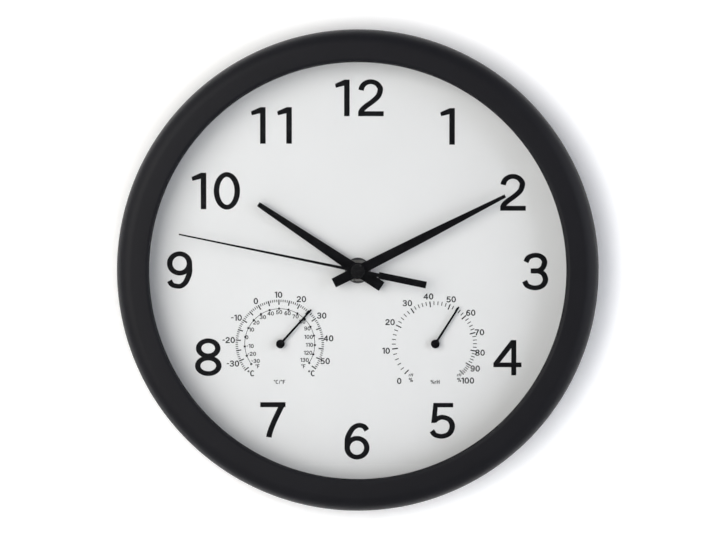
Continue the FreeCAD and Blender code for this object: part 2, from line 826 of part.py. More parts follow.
def build_movement_cover():
    """Rear plate of the train room, with its locating lip, sockets and board pegs."""
    cover = new_body("movement_cover")
    plate = new_sketch(cover, "plate", lift="movement_back")
    rounded_outline(plate, "0 - movement_half", "movement_half",
                    "0 - bay_high", "movement_half", "cover_corner")
    pad(cover, plate, "cover_thick")
    lip = new_sketch(cover, "lip", lift="cover_front")
    outer = "housing_bore - cover_lip_gap"
    low = "bay_wall_high - cover_lip_gap"
    box_outline(lip, f"0 - ({outer})", outer, f"0 - ({low})", outer)
    box_outline(lip, f"cover_lip_wall - ({outer})", f"{outer} - cover_lip_wall",
                f"cover_lip_wall - ({low})", f"{outer} - cover_lip_wall")
    pad(cover, lip, "cover_lip_depth")
    pegs = new_sketch(cover, "board_pegs", lift="cover_front")
    for across in ("0 - board_left + 2 * board_peg_radius", "0 - board_right - board_peg_radius"):
        for up in ("board_low + 2 * board_peg_radius", "board_high - 2 * board_peg_radius"):
            circle(pegs, "board_peg_radius", across, up)
    pad(cover, pegs, "board_lift")
    posts = new_sketch(cover, "stator_posts", lift="cover_front")
    circle(posts, "stator_post_radius", "stator_left + stator_arm / 2", "coil_up")
    circle(posts, "stator_post_radius", "stator_right - stator_arm / 2", "coil_up")
    circle(posts, "stator_post_radius", "stator_right - stator_arm / 2", "stator_low + stator_arm / 2")
    pad(cover, posts, "stator_level - cover_front")
    sockets = new_sketch(cover, "sockets", lift="cover_front")
    add_socket_circles(sockets)
    circle(sockets, "seconds_shaft_radius + arbor_gap")
    pocket(cover, sockets, "arbor_sink + arbor_gap")
    knob_hole = circle(new_sketch(cover, "knob_hole", lift="cover_front"),
                       "setting_arbor_radius + arbor_gap", *train_places["setting"])
    pocket(cover, knob_hole, "cover_thick")


def build_centre_bush():
    """Turned brass sleeve that holds the movement to the dial."""
    bush = new_body("centre_bush")
    turned_section(bush, "section", [
        ("bush_bore", "bush_flange_back"),
        ("bush_flange_radius", "bush_flange_back"),
        ("bush_flange_radius", "housing_front"),
        ("bush_radius", "housing_front"),
        ("bush_radius", "bush_front"),
        ("bush_bore", "bush_front"),
    ])


def build_mounting_washer():
    """Steel washer on the dial, with a broken edge."""
    washer = new_body("mounting_washer")
    turned_section(washer, "section", [
        ("bush_radius + bush_hole_gap", "dial_front"),
        ("washer_radius", "dial_front"),
        ("washer_radius", "washer_front - washer_chamfer"),
        ("washer_radius - washer_chamfer", "washer_front"),
        ("bush_radius + bush_hole_gap", "washer_front"),
    ])


def build_mounting_nut():
    """Hexagon nut, its corners turned off by a cone."""
    prism = document.addObject("Part::Prism", "nut_prism")
    prism.Polygon = 6
    prism.setExpression("Circumradius", linked("nut_across / 2 / cos(30)"))
    prism.setExpression("Height", linked("nut_thick"))
    cone = document.addObject("Part::Cone", "nut_cone")
    cone.setExpression("Radius1", linked("nut_across / 2 + nut_thick + nut_chamfer / 2"))
    cone.setExpression("Radius2", linked("nut_across / 2 + nut_chamfer / 2 - nut_chamfer"))
    cone.setExpression("Height", linked("nut_thick"))
    blank = document.addObject("Part::Common", "nut_blank")
    blank.Base = prism
    blank.Tool = cone
    bore = document.addObject("Part::Cylinder", "nut_bore")
    bore.setExpression("Radius", linked("bush_radius + bush_hole_gap"))
    bore.setExpression("Height", linked("nut_thick"))
    nut = document.addObject("Part::Cut", "mounting_nut")
    nut.Label = "mounting_nut"
    nut.Base = blank
    nut.Tool = bore
    place_piece(nut, "0", "0", "washer_front")


# Train: each wheel is a turned blank with its teeth patterned round the rim

def ray(reach, angle, across="0", up="0"):
    """Named place at a reach and a direction from another place."""
    turn = math.radians(size(angle))
    run = f"{across} + {reach} * {math.cos(turn):.9f}"
    rise = f"{up} + {reach} * {math.sin(turn):.9f}"
    return run, rise


train_places = {
    "intermediate": ray("intermediate_reach", "intermediate_angle"),
    "third": ray("third_reach", "third_angle"),
    "reverser": ray("reverser_reach", "reverser_angle"),
}
train_places["rotor"] = ray("rotor_reach", "rotor_angle", *train_places["intermediate"])
train_places["setting"] = ray("setting_reach", "setting_angle", *train_places["reverser"])


def root_radius(module, teeth):
    """Radius at the bottom of the tooth gaps."""
    return f"{module} * ({teeth} / 2 - dedendum_share)"


def add_teeth(item, name, module, teeth, back, height):
    """One straight-sided tooth raised on the rim, then repeated all round."""
    foot = f"{root_radius(module, teeth)} - {module} * tooth_sink_share"
    tip = f"{module} * ({teeth} / 2 + addendum_share)"
    foot_half = f"{module} * tooth_root_share"
    tip_half = f"{module} * tooth_tip_share"
    sketch = new_sketch(item, name, lift=back)
    outline(sketch, [
        (foot, f"0 - {foot_half}"),
        (tip, f"0 - {tip_half}"),
        (tip, tip_half),
        (foot, foot_half),
    ])
    around(item, pad(item, sketch, height), sketch, teeth)


def meshing_turn(first_turn, first_teeth, angle, second_teeth):
    """Turn of the second wheel whose gap meets the first wheel's tooth along their line."""
    pitch_share = (size(angle) - first_turn) * size(first_teeth) / 360
    facing = size(angle) + 180
    return facing - (0.5 - pitch_share) * 360 / size(second_teeth)


intermediate_turn = meshing_turn(0, "seconds_teeth", "intermediate_angle", "intermediate_leaves")
rotor_turn = meshing_turn(intermediate_turn, "intermediate_teeth", "rotor_angle", "rotor_leaves")
third_turn = meshing_turn(0, "seconds_leaves", "third_angle", "third_teeth")
centre_turn = meshing_turn(third_turn, "third_leaves", "third_angle + 180", "centre_teeth")
reverser_turn = meshing_turn(0, "cannon_leaves", "reverser_angle", "reverser_teeth")
hour_turn = meshing_turn(reverser_turn, "reverser_leaves", "reverser_angle + 180", "hour_teeth")
setting_turn = meshing_turn(reverser_turn, "reverser_teeth", "setting_angle", "setting_leaves")


def build_seconds_wheel():
    """Wheel and leaves on the long shaft that carries the second hand."""
    wheel = new_body("seconds_wheel")
    rim = root_radius("seconds_module", "seconds_teeth")
    leaves = root_radius("third_module", "seconds_leaves")
    turned_section(wheel, "blank", [
        ("0", "arbor_back"),
        ("seconds_shaft_radius", "arbor_back"),
        ("seconds_shaft_radius", "seconds_level"),
        (rim, "seconds_level"),
        (rim, "seconds_level + wheel_thick"),
        (leaves, "seconds_level + wheel_thick"),
        (leaves, "third_level + wheel_thick + leaf_margin"),
        ("seconds_shaft_radius", "third_level + wheel_thick + leaf_margin"),
        ("seconds_shaft_radius", "seconds_shaft_front"),
        ("0", "seconds_shaft_front"),
    ])
    add_teeth(wheel, "teeth", "seconds_module", "seconds_teeth", "seconds_level", "wheel_thick")
    add_teeth(wheel, "leaves", "third_module", "seconds_leaves", "third_level - leaf_margin", "leaf_height")


def arbored_blank(item, steps):
    """Turned blank on an arbor that spans the housing; steps are (radius, back, front)."""
    corners = [("0", "arbor_back"), ("arbor_radius", "arbor_back")]
    for number, (radius, back, front) in enumerate(steps):
        if number == 0 or steps[number - 1][2] != back:
            corners.append(("arbor_radius", back))
        corners.append((radius, back))
        corners.append((radius, front))
        if number + 1 == len(steps) or steps[number + 1][1] != front:
            corners.append(("arbor_radius", front))
    corners += [("arbor_radius", "arbor_front"), ("0", "arbor_front")]
    turned_section(item, "blank", corners)


def build_intermediate_wheel():
    """Takes the rotor's steps to the seconds wheel."""
    wheel = new_body("intermediate_wheel", *train_places["intermediate"], turn=intermediate_turn)
    rim = root_radius("intermediate_module", "intermediate_teeth")
    leaves = root_radius("seconds_module", "intermediate_leaves")
    arbored_blank(wheel, [
        (leaves, "seconds_level - leaf_margin", "intermediate_level"),
        (rim, "intermediate_level", "intermediate_level + wheel_thick"),
    ])
    add_teeth(wheel, "leaves", "seconds_module", "intermediate_leaves",
              "seconds_level - leaf_margin", "leaf_height")
    add_teeth(wheel, "teeth", "intermediate_module", "intermediate_teeth",
              "intermediate_level", "wheel_thick")


def build_third_wheel():
    """Steps the seconds leaves down to the centre wheel."""
    wheel = new_body("third_wheel", *train_places["third"], turn=third_turn)
    rim = root_radius("third_module", "third_teeth")
    leaves = root_radius("centre_module", "third_leaves")
    arbored_blank(wheel, [
        (rim, "third_level", "third_level + wheel_thick"),
        (leaves, "third_level + wheel_thick", "centre_level + wheel_thick + leaf_margin"),
    ])
    add_teeth(wheel, "teeth", "third_module", "third_teeth", "third_level", "wheel_thick")
    add_teeth(wheel, "leaves", "centre_module", "third_leaves", "centre_level - leaf_margin", "leaf_height")


def build_centre_wheel():
    """Toothed rim that drags the cannon pinion round and slips when the hands are set."""
    wheel = new_body("centre_wheel", turn=centre_turn)
    rim = root_radius("centre_module", "centre_teeth")
    hub_front = "centre_level + wheel_thick + leaf_margin"
    turned_section(wheel, "blank", [
        ("cannon_radius + rim_gap", "centre_level"),
        (rim, "centre_level"),
        (rim, "centre_level + wheel_thick"),
        ("rim_hub_radius", "centre_level + wheel_thick"),
        ("rim_hub_radius", hub_front),
        ("cannon_radius + rim_gap", hub_front),
    ])
    add_teeth(wheel, "teeth", "centre_module", "centre_teeth", "centre_level", "wheel_thick")


def build_cannon_pinion():
    """Sleeve on the seconds shaft that carries the minute hand."""
    cannon = new_body("cannon_pinion")
    leaves = root_radius("motion_module", "cannon_leaves")
    collar_back = "centre_level - cannon_collar_thick - leaf_margin / 2"
    collar_front = "centre_level - leaf_margin / 2"
    leaves_back = "motion_level - leaf_margin + leaf_margin / 4"
    leaves_front = "motion_level + wheel_thick + leaf_margin"
    turned_section(cannon, "blank", [
        ("cannon_bore", collar_back),
        ("cannon_collar_radius", collar_back),
        ("cannon_collar_radius", collar_front),
        ("cannon_radius", collar_front),
        ("cannon_radius", leaves_back),
        (leaves, leaves_back),
        (leaves, leaves_front),
        ("cannon_radius", leaves_front),
        ("cannon_radius", "cannon_front"),
        ("cannon_bore", "cannon_front"),
    ])
    add_teeth(cannon, "leaves", "motion_module", "cannon_leaves",
              leaves_back, f"{leaves_front} - ({leaves_back})")


def build_reverser_wheel():
    """Wheel and leaves that turn the cannon pinion's speed into the hour wheel's."""
    wheel = new_body("reverser_wheel", *train_places["reverser"], turn=reverser_turn)
    rim = root_radius("motion_module", "reverser_teeth")
    leaves = root_radius("hour_module", "reverser_leaves")
    arbored_blank(wheel, [
        (rim, "motion_level", "motion_level + wheel_thick"),
        (leaves, "motion_level + wheel_thick", "hour_level + wheel_thick + leaf_margin"),
    ])
    add_teeth(wheel, "teeth", "motion_module", "reverser_teeth", "motion_level", "wheel_thick")
    add_teeth(wheel, "leaves", "hour_module", "reverser_leaves", "hour_level - leaf_margin", "leaf_height")


def build_hour_wheel():
    """Wheel on the pipe that carries the hour hand."""
    wheel = new_body("hour_wheel", turn=hour_turn)
    rim = root_radius("hour_module", "hour_teeth")
    turned_section(wheel, "blank", [
        ("pipe_bore", "hour_level"),
        (rim, "hour_level"),
        (rim, "hour_level + wheel_thick"),
        ("pipe_radius", "hour_level + wheel_thick"),
        ("pipe_radius", "pipe_front"),
        ("pipe_bore", "pipe_front"),
    ])
    add_teeth(wheel, "teeth", "hour_module", "hour_teeth", "hour_level", "wheel_thick")


def build_setting_parts():
    """Setting pinion inside the housing and its knob behind the cover."""
    place = train_places["setting"]
    pinion = new_body("setting_pinion", *place, turn=setting_turn)
    leaves = root_radius("motion_module", "setting_leaves")
    leaves_back = "motion_level - leaf_margin"
    leaves_front = "motion_level + wheel_thick + leaf_margin"
    knob_core = "setting_knob_back + setting_knob_thick / 2"
    turned_section(pinion, "blank", [
        ("0", knob_core),
        ("setting_arbor_radius", knob_core),
        ("setting_arbor_radius", leaves_back),
        (leaves, leaves_back),
        (leaves, leaves_front),
        ("0", leaves_front),
    ])
    add_teeth(pinion, "leaves", "motion_module", "setting_leaves", leaves_back, "leaf_height")
    knob = new_body("setting_knob", *place)
    disc = circle(new_sketch(knob, "disc", lift="setting_knob_back"), "setting_knob_radius")
    pad(knob, disc, "setting_knob_thick")
    notch = new_sketch(knob, "notch", lift="setting_knob_back")
    circle(notch, "setting_notch_radius", "setting_knob_radius")
    around(knob, pocket(knob, notch, "setting_knob_thick", forwards=True), notch, "knob_notch_count")
    bore = circle(new_sketch(knob, "bore", lift=knob_core), "setting_arbor_radius + hand_fit")
    pocket(knob, bore, "setting_knob_thick / 2", forwards=True)


# Motor: rotor in the stator's hole, coil on the stator's upper bar

def build_rotor():
    """Moulded rotor leaves and the ring magnet on them."""
    place = train_places["rotor"]
    pinion = new_body("rotor_pinion", *place, turn=rotor_turn)
    leaves = root_radius("intermediate_module", "rotor_leaves")
    leaves_back = "intermediate_level - leaf_margin"
    arbored_blank(pinion, [(leaves, leaves_back, "intermediate_level + wheel_thick + leaf_margin")])
    add_teeth(pinion, "leaves", "intermediate_module", "rotor_leaves", leaves_back, "leaf_height")
    magnet = new_body("rotor_magnet", *place)
    tube(magnet, "ring", "magnet_radius", "arbor_radius + hand_fit",
         "magnet_level", "magnet_level + magnet_thick")


def build_stator():
    """Flat steel plate with the rotor's hole and a window for the coil."""
    stator = new_body("stator")
    plate = new_sketch(stator, "plate", lift="stator_level")
    box_outline(plate, "stator_left", "stator_right", "stator_low", "stator_high")
    box_outline(plate, "stator_left + stator_arm", "stator_right - stator_arm",
                "stator_window_low", "stator_high - stator_bar")
    circle(plate, "rotor_hole", *train_places["rotor"])
    pad(stator, plate, "stator_thick")


def build_coil():
    """Bobbin on the stator's upper bar and the wire wound on it."""
    bobbin = new_body("coil_bobbin", "coil_across", "coil_up")
    section = new_sketch(bobbin, "section", "XY", "coil_level")
    inner = "coil_half - bobbin_flange_thick"
    outline(section, [
        ("0 - coil_half", "0"),
        ("coil_half", "0"),
        ("coil_half", "bobbin_flange_radius"),
        (inner, "bobbin_flange_radius"),
        (inner, "bobbin_core_radius"),
        (f"0 - ({inner})", "bobbin_core_radius"),
        (f"0 - ({inner})", "bobbin_flange_radius"),
        ("0 - coil_half", "bobbin_flange_radius"),
    ])
    turned(bobbin, section, "H_Axis")
    passage = new_sketch(bobbin, "passage", lift="coil_level + stator_thick / 2 + bobbin_gap")
    box_outline(passage, "0 - coil_half", "coil_half",
                "0 - stator_bar / 2 - bobbin_gap", "stator_bar / 2 + bobbin_gap")
    pocket(bobbin, passage, "stator_thick + 2 * bobbin_gap")
    winding = new_body("coil_winding", "coil_across", "coil_up")
    wire = new_sketch(winding, "section", "XY", "coil_level")
    outline(wire, [
        (f"0 - ({inner})", "bobbin_core_radius"),
        (inner, "bobbin_core_radius"),
        (inner, "coil_radius"),
        (f"0 - ({inner})", "coil_radius"),
    ])
    turned(winding, wire, "H_Axis")


# Circuit

def build_circuit():
    """Board on its pegs, with the sealed chip and the quartz crystal's can."""
    board = new_body("circuit_board")
    plate = new_sketch(board, "plate", lift="board_level")
    box_outline(plate, "0 - board_left", "0 - board_right", "board_low", "board_high")
    pad(board, plate, "board_thick")
    chip = new_body("clock_chip", "0 - chip_across", "chip_up")
    turned_section(chip, "dome", [
        ("0", "board_front"),
        ("chip_radius", "board_front", "chip_dome_radius"),
        ("0", "board_front + chip_thick"),
    ])
    crystal = new_body("quartz_crystal", "0 - crystal_across", "crystal_low")
    can = new_sketch(crystal, "section", "XY", "board_front + crystal_radius")
    outline(can, [
        ("0", "0"),
        ("crystal_radius", "0"),
        ("crystal_radius", "crystal_length"),
        ("0", "crystal_length"),
    ])
    turned(crystal, can, "V_Axis")


# Battery and contacts

def build_battery():
    """Round cell lying across the lower bay, with its raised end to the viewer's right."""
    cell = new_body("battery", "0", "0 - battery_down")
    can_end = "battery_length / 2 - battery_nub_length"
    section = new_sketch(cell, "section", "XY", "battery_level")
    outline(section, [
        ("0 - battery_length / 2", "0"),
        ("battery_length / 2", "0"),
        ("battery_length / 2", "battery_nub_radius"),
        (can_end, "battery_nub_radius"),
        (can_end, "battery_radius - battery_edge"),
        (f"{can_end} - battery_edge", "battery_radius"),
        ("0 - battery_length / 2 + battery_edge", "battery_radius"),
        ("0 - battery_length / 2", "battery_radius - battery_edge"),
    ])
    turned(cell, section, "H_Axis")


def build_contacts():
    """Flat plate with a pressed dimple at one end, bent leaf at the other."""
    dimple = new_body("contact_plus", "0", "0 - battery_down")
    plate = new_sketch(dimple, "plate", lift="contact_back")
    box_outline(plate, "bay_half - contact_gap - contact_thick", "bay_half - contact_gap",
                "0 - contact_half", "contact_half")
    pad(dimple, plate, "contact_rise")
    bump = new_sketch(dimple, "bump", "XY", "battery_level")
    outline(bump, [
        ("battery_length / 2 + contact_gap", "0"),
        ("bay_half - contact_gap - contact_thick / 2", "0"),
        ("bay_half - contact_gap - contact_thick / 2", "contact_bump_radius"),
        ("battery_length / 2 + contact_gap", "contact_bump_radius / 2"),
    ])
    turned(dimple, bump, "H_Axis")
    leaf = new_body("contact_minus", "0", "0 - battery_down")
    strip = new_sketch(leaf, "strip", lift="contact_back")
    face = "0 - bay_half + contact_gap"
    crest = "0 - battery_length / 2 - contact_gap"
    outline(strip, [
        (face, "0 - contact_half"),
        (f"{face} + contact_thick", "0 - contact_half"),
        (f"{face} + contact_thick", "contact_half - 2 * contact_thick"),
        (f"{crest} - contact_thick", "contact_thick"),
        (f"{crest} - contact_thick", "0 - contact_half / 2"),
        (crest, "0 - contact_half / 2"),
        (crest, "contact_thick"),
        (f"{face} + contact_thick", "contact_half"),
        (face, "contact_half"),
    ])
    pad(leaf, strip, "contact_rise")


# Hands: flat blades on collets, drawn at twelve and turned to the hour that is shown

def blade_hand(name, angle, level, bore, blade):
    """A flat hand with a round hub and a collet that grips its sleeve."""
    hand = new_body(name, turn=-size(angle))
    flat = new_sketch(hand, "blade", lift=level)
    outline(flat, blade)
    pad(hand, flat, "hand_thick")
    hub = circle(new_sketch(hand, "hub", lift=level), "hand_hub_radius")
    pad(hand, hub, "hand_thick")
    collet = circle(new_sketch(hand, "collet", lift=level), f"{bore} + hand_collet_wall")
    pad(hand, collet, "hand_collet_depth", backwards=True)
    hole = circle(new_sketch(hand, "hole", lift=f"{level} + hand_thick"), bore)
    pocket(hand, hole, "hand_thick + hand_collet_depth")


def blade_outline(name):
    """Tapered blade with a short square tail, from the named sizes of one hand."""
    return [
        (f"{name}_tail_half", f"0 - {name}_tail"),
        (f"{name}_root_half", "0"),
        (f"{name}_tip_half", f"{name}_length"),
        (f"0 - {name}_tip_half", f"{name}_length"),
        (f"0 - {name}_root_half", "0"),
        (f"0 - {name}_tail_half", f"0 - {name}_tail"),
    ]


def build_second_hand():
    """Thin hand with a barred tail, and the turned cap on its tube."""
    hand = new_body("second_hand", turn=-size("second_hand_angle"))
    flat = new_sketch(hand, "blade", lift="second_hand_level")
    outline(flat, [
        ("second_hand_half", "0 - second_bar_start"),
        ("second_hand_half", "second_hand_length"),
        ("0 - second_hand_half", "second_hand_length"),
        ("0 - second_hand_half", "0 - second_bar_start"),
        ("0 - second_bar_root_half", "0 - second_bar_start"),
        ("0 - second_bar_end_half", "0 - second_hand_tail"),
        ("second_bar_end_half", "0 - second_hand_tail"),
        ("second_bar_root_half", "0 - second_bar_start"),
    ])
    pad(hand, flat, "second_hand_thick")
    ring = circle(new_sketch(hand, "ring", lift="second_hand_level"), "hub_cap_radius - hub_cap_edge")
    pad(hand, ring, "second_hand_thick")
    hole = circle(new_sketch(hand, "hole", lift="seconds_shaft_front"), "hub_tube_radius + hand_fit")
    pocket(hand, hole, "second_hand_thick")
    cap = new_body("second_hand_cap", turn=-size("second_hand_angle"))
    bore = "seconds_shaft_radius + hand_fit"
    front = "seconds_shaft_front + hub_cap_above"
    turned_section(cap, "section", [
        (bore, "second_hand_level - hub_tube_length"),
        ("hub_tube_radius", "second_hand_level - hub_tube_length"),
        ("hub_tube_radius", "seconds_shaft_front"),
        ("hub_cap_radius", "seconds_shaft_front"),
        ("hub_cap_radius", f"{front} - hub_cap_edge", "hub_cap_edge"),
        ("hub_cap_radius - hub_cap_edge", front),
        ("0", front),
        ("0", "seconds_shaft_front + hand_fit"),
        (bore, "seconds_shaft_front + hand_fit"),
    ])


# Thermometer and hygrometer: a coil in a collar behind the floor turns the pointer's arbor

def build_bridge(name, middle):
    """Vented plate on the collar that carries the arbor's rear bearing and the coil's stud."""
    bridge = new_body(name, middle, "0 - instrument_down")
    disc = circle(new_sketch(bridge, "disc", lift="bridge_back"), "collar_outer")
    pad(bridge, disc, "bridge_thick")
    ears = new_sketch(bridge, "ears", lift="bridge_back")
    outline(ears, [
        ("0 - bridge_ear_reach", "0 - bridge_ear_radius"),
        ("bridge_ear_reach", "0 - bridge_ear_radius", "bridge_ear_radius"),
        ("bridge_ear_reach + bridge_ear_radius", "0", "bridge_ear_radius"),
        ("bridge_ear_reach", "bridge_ear_radius"),
        ("0 - bridge_ear_reach", "bridge_ear_radius", "bridge_ear_radius"),
        ("0 - bridge_ear_reach - bridge_ear_radius", "0", "bridge_ear_radius"),
    ])
    pad(bridge, ears, "bridge_thick")
    boss = circle(new_sketch(bridge, "boss", lift="bridge_back"), "bridge_boss_radius")
    pad(bridge, boss, "bridge_thick + bridge_boss_rise")
    stud = new_sketch(bridge, "stud", lift="bridge_back")
    stud_start = "coil_last_radius + coil_strip_thick / 2 + stud_gap"
    box_outline(stud, stud_start, f"{stud_start} + 2 * stud_half", "0 - stud_half", "stud_half")
    pad(bridge, stud, "bridge_thick + coil_lift + coil_strip_width")
    vent = slot_outline(new_sketch(bridge, "vent", lift="collar_back"), "vent_half",
                        "vent_inner + vent_half", "vent_outer - vent_half")
    around(bridge, pocket(bridge, vent, "bridge_thick"), vent, "vent_count")
    holes = new_sketch(bridge, "holes", lift="collar_back")
    circle(holes, "bridge_screw_bore", "bridge_ear_reach", "0")
    circle(holes, "bridge_screw_bore", "0 - bridge_ear_reach", "0")
    pocket(bridge, holes, "bridge_thick")
    bearing = circle(new_sketch(bridge, "bearing", lift="collar_back + bridge_boss_rise"),
                     "pointer_arbor_radius + pointer_arbor_gap")
    pocket(bridge, bearing, "bridge_boss_rise + pointer_arbor_sink + pointer_arbor_gap")


def build_pointer_parts(name, middle, angle, length):
    """Arbor with its collet, and the pointer with its hub, turned to the value that is shown."""
    down = "0 - instrument_down"
    arbor = new_body(f"{name}_arbor", middle, down)
    turned_section(arbor, "section", [
        ("0", "collar_back - pointer_arbor_sink"),
        ("pointer_arbor_radius", "collar_back - pointer_arbor_sink"),
        ("pointer_arbor_radius", "coil_back"),
        ("collet_radius", "coil_back"),
        ("collet_radius", "coil_back + coil_strip_width"),
        ("pointer_arbor_radius", "coil_back + coil_strip_width"),
        ("pointer_arbor_radius", "pointer_arbor_front"),
        ("0", "pointer_arbor_front"),
    ])
    pointer = new_body(f"{name}_pointer", middle, down, turn=-size(angle))
    turned_section(pointer, "hub", [
        ("pointer_arbor_radius + hand_fit", "pointer_hub_back"),
        ("pointer_hub_radius", "pointer_hub_back"),
        ("pointer_hub_radius", "pointer_hub_front - pointer_hub_edge", "pointer_hub_edge"),
        ("pointer_hub_radius - pointer_hub_edge", "pointer_hub_front"),
        ("0", "pointer_hub_front"),
        ("0", "pointer_arbor_front + hand_fit"),
        ("pointer_arbor_radius + hand_fit", "pointer_arbor_front + hand_fit"),
    ])
    blade = new_sketch(pointer, "blade", lift="pointer_blade_back")
    root = "pointer_hub_radius / 2 + pointer_arbor_radius / 2"
    outline(blade, [
        ("pointer_root_half", root),
        ("pointer_tip_half", length),
        ("0 - pointer_tip_half", length),
        ("0 - pointer_root_half", root),
    ])
    pad(pointer, blade, "pointer_blade_thick")


def build_spiral_strip(name, middle):
    """Flat spiral strip of half turns, whose centres step to and fro across the arbor."""
    half_thick = size("coil_strip_thick") / 2
    step = size("coil_pitch") / 2
    strip_sides = []
    for offset in (-half_thick, half_thick):
        for number in range(int(size("coil_half_turns"))):
            reach = size("coil_first_radius") + number * step + offset
            side = 1 if number % 2 else -1
            centre = FreeCAD.Vector(step * (number % 2), 0, 0)
            arm = FreeCAD.Vector(side * reach, 0, 0)
            crown = FreeCAD.Vector(0, side * reach, 0)
            strip_sides.append(Part.Arc(centre - arm, centre + crown, centre + arm))
    ends = [
        FreeCAD.Vector(size("coil_first_radius"), 0, 0),
        FreeCAD.Vector(-size("coil_last_radius"), 0, 0),
    ]
    across_strip = FreeCAD.Vector(half_thick, 0, 0)
    caps = [Part.LineSegment(end - across_strip, end + across_strip) for end in ends]
    edges = [curve.toShape() for curve in strip_sides + caps]
    wire = Part.Wire(Part.__sortEdges__(edges))
    item = document.addObject("Part::Feature", name)
    item.Label = name
    item.Shape = Part.Face(wire).extrude(FreeCAD.Vector(0, 0, size("coil_strip_width")))
    place_piece(item, middle, "0 - instrument_down", "coil_back", turn=180)


def build_instruments():
    """Both instruments, alike but for their coils' make and their pointers."""
    middles = {"thermometer": "0 - instrument_across", "hygrometer": "instrument_across"}
    for name, middle in middles.items():
        build_bridge(f"{name}_bridge", middle)
        build_spiral_strip(f"{name}_coil", middle)
        build_pointer_parts(name, middle, f"{name}_pointer_angle", f"{name}_pointer_length")
    across, down, ear = size("instrument_across"), -size("instrument_down"), size("bridge_ear_reach")
    places = [(side * across + end * ear, down) for side in (-1, 1) for end in (-1, 1)]
    build_screws("bridge_screws", places, "bridge_screw_head_radius", "bridge_screw_head_depth",
                 "bridge_screw_radius", "bridge_screw_length", "bridge_back")


build_front_frame()
build_front_glass()
build_dial()
build_back_case()
build_screws("case_screws", ring_places("case_boss_ring", "case_screw_count", "first_case_screw_angle"),
             "screw_head_radius", "screw_head_depth", "screw_shank_radius", "screw_length", "flange_back")
build_movement_case()
build_movement_cover()
build_centre_bush()
build_mounting_washer()
build_mounting_nut()
build_seconds_wheel()
build_intermediate_wheel()
build_third_wheel()
build_centre_wheel()
build_cannon_pinion()
build_reverser_wheel()
build_hour_wheel()
build_setting_parts()
build_rotor()
build_stator()
build_coil()
build_circuit()
build_battery()
build_contacts()
blade_hand("hour_hand", "hour_hand_angle", "hour_hand_level", "pipe_radius + hand_fit",
           blade_outline("hour_hand"))
blade_hand("minute_hand", "minute_hand_angle", "minute_hand_level", "cannon_radius + hand_fit",
           blade_outline("minute_hand"))
build_second_hand()
build_instruments()
document.recompute()


def check_and_write():
    """Every object must be computed and every piece whole before any file is written."""
    for item in document.Objects:
        if "Invalid" in item.State or "Error" in item.State:
            raise RuntimeError(f"{item.Name} failed: {item.State}")
    for piece in pieces:
        if piece.Shape.isNull() or not piece.Shape.isValid():
            raise RuntimeError(f"{piece.Label} has no valid shape")
    os.makedirs("parts", exist_ok=True)
    for piece in pieces:
        piece.Shape.exportStep(f"parts/{piece.Label}.step")


check_and_write()
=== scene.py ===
import math

import bpy
import numpy as np
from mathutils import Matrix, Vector
from mathutils.geometry import delaunay_2d_cdt


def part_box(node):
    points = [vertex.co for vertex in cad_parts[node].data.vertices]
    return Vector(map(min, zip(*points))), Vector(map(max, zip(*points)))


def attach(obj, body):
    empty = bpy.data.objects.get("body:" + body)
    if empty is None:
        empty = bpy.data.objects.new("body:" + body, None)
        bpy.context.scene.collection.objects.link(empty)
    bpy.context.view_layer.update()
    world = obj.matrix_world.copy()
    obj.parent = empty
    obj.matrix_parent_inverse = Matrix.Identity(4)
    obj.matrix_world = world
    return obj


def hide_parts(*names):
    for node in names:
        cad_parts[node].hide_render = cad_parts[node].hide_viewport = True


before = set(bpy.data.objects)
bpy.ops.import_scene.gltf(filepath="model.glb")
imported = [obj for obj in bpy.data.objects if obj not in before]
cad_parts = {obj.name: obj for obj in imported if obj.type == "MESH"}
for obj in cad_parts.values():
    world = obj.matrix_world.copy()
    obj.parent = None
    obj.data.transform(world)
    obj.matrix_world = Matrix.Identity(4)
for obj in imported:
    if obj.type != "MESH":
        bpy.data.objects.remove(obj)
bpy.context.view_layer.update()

# Sizes of the object, in millimetres. Levels are measured out from the wall, radii from the dial's axis.
MM = 0.001
dial_low, dial_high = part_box("dial")
AXIS_HEIGHT = (dial_low.z + dial_high.z) / 2
DIAL_FACE = -dial_low.y / MM
frame_low, frame_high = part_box("front_frame")
FRAME_RADIUS = (frame_high.x - frame_low.x) / 2 / MM
FRAME_FACE = -frame_low.y / MM
SKIRT_FOOT = -frame_high.y / MM
TURN_STEPS = 384

ROLL_RADIUS = 8.5
SKIRT_DRAFT = 1.04
SKIRT_WALL = 1.7
FACE_WALL = 2.0
LIP_RADIUS = 107.5
LIP_LINE_INNER = 108.3
LIP_LINE_OUTER = 109.5
LIP_LINE_DROP = 0.4
GUIDE_INNER = 113.0
GUIDE_WALL = 1.6
GUIDE_DEPTH = 6.0
EDGE_ROUND = 0.12
RIM_ROUND = 0.3
# The frame's sharp corner lies this far beyond its rolled edge, as the skirt below it has a draft.
CORNER_BEYOND = 0.24

# The print on the dial. A sign is drawn in units, and a capital is 36 units tall.
CAPITAL = 36.0
PEN = (5.5, 4.8)
FINE_PEN = (3.4, 3.4)
PRINT_PROUD = 0.04
PRINT_SUNK = 0.01
HOUR_HEIGHT = 18.9
HOUR_GAPS = {"12": 8.4, "11": 11.4, "10": 7.4}
HOUR_PLACES = {
    "12": (0.8, 89.8),
    "1": (46.7, 75.0),
    "2": (80.9, 40.6),
    "3": (92.7, -0.6),
    "4": (78.2, -45.4),
    "5": (44.3, -78.4),
    "6": (-0.5, -89.2),
    "7": (-44.4, -77.9),
    "8": (-78.1, -45.4),
    "9": (-92.9, 0.2),
    "10": (-74.0, 41.4),
    "11": (-45.0, 75.5),
}
SMALL_GAP = 5.0
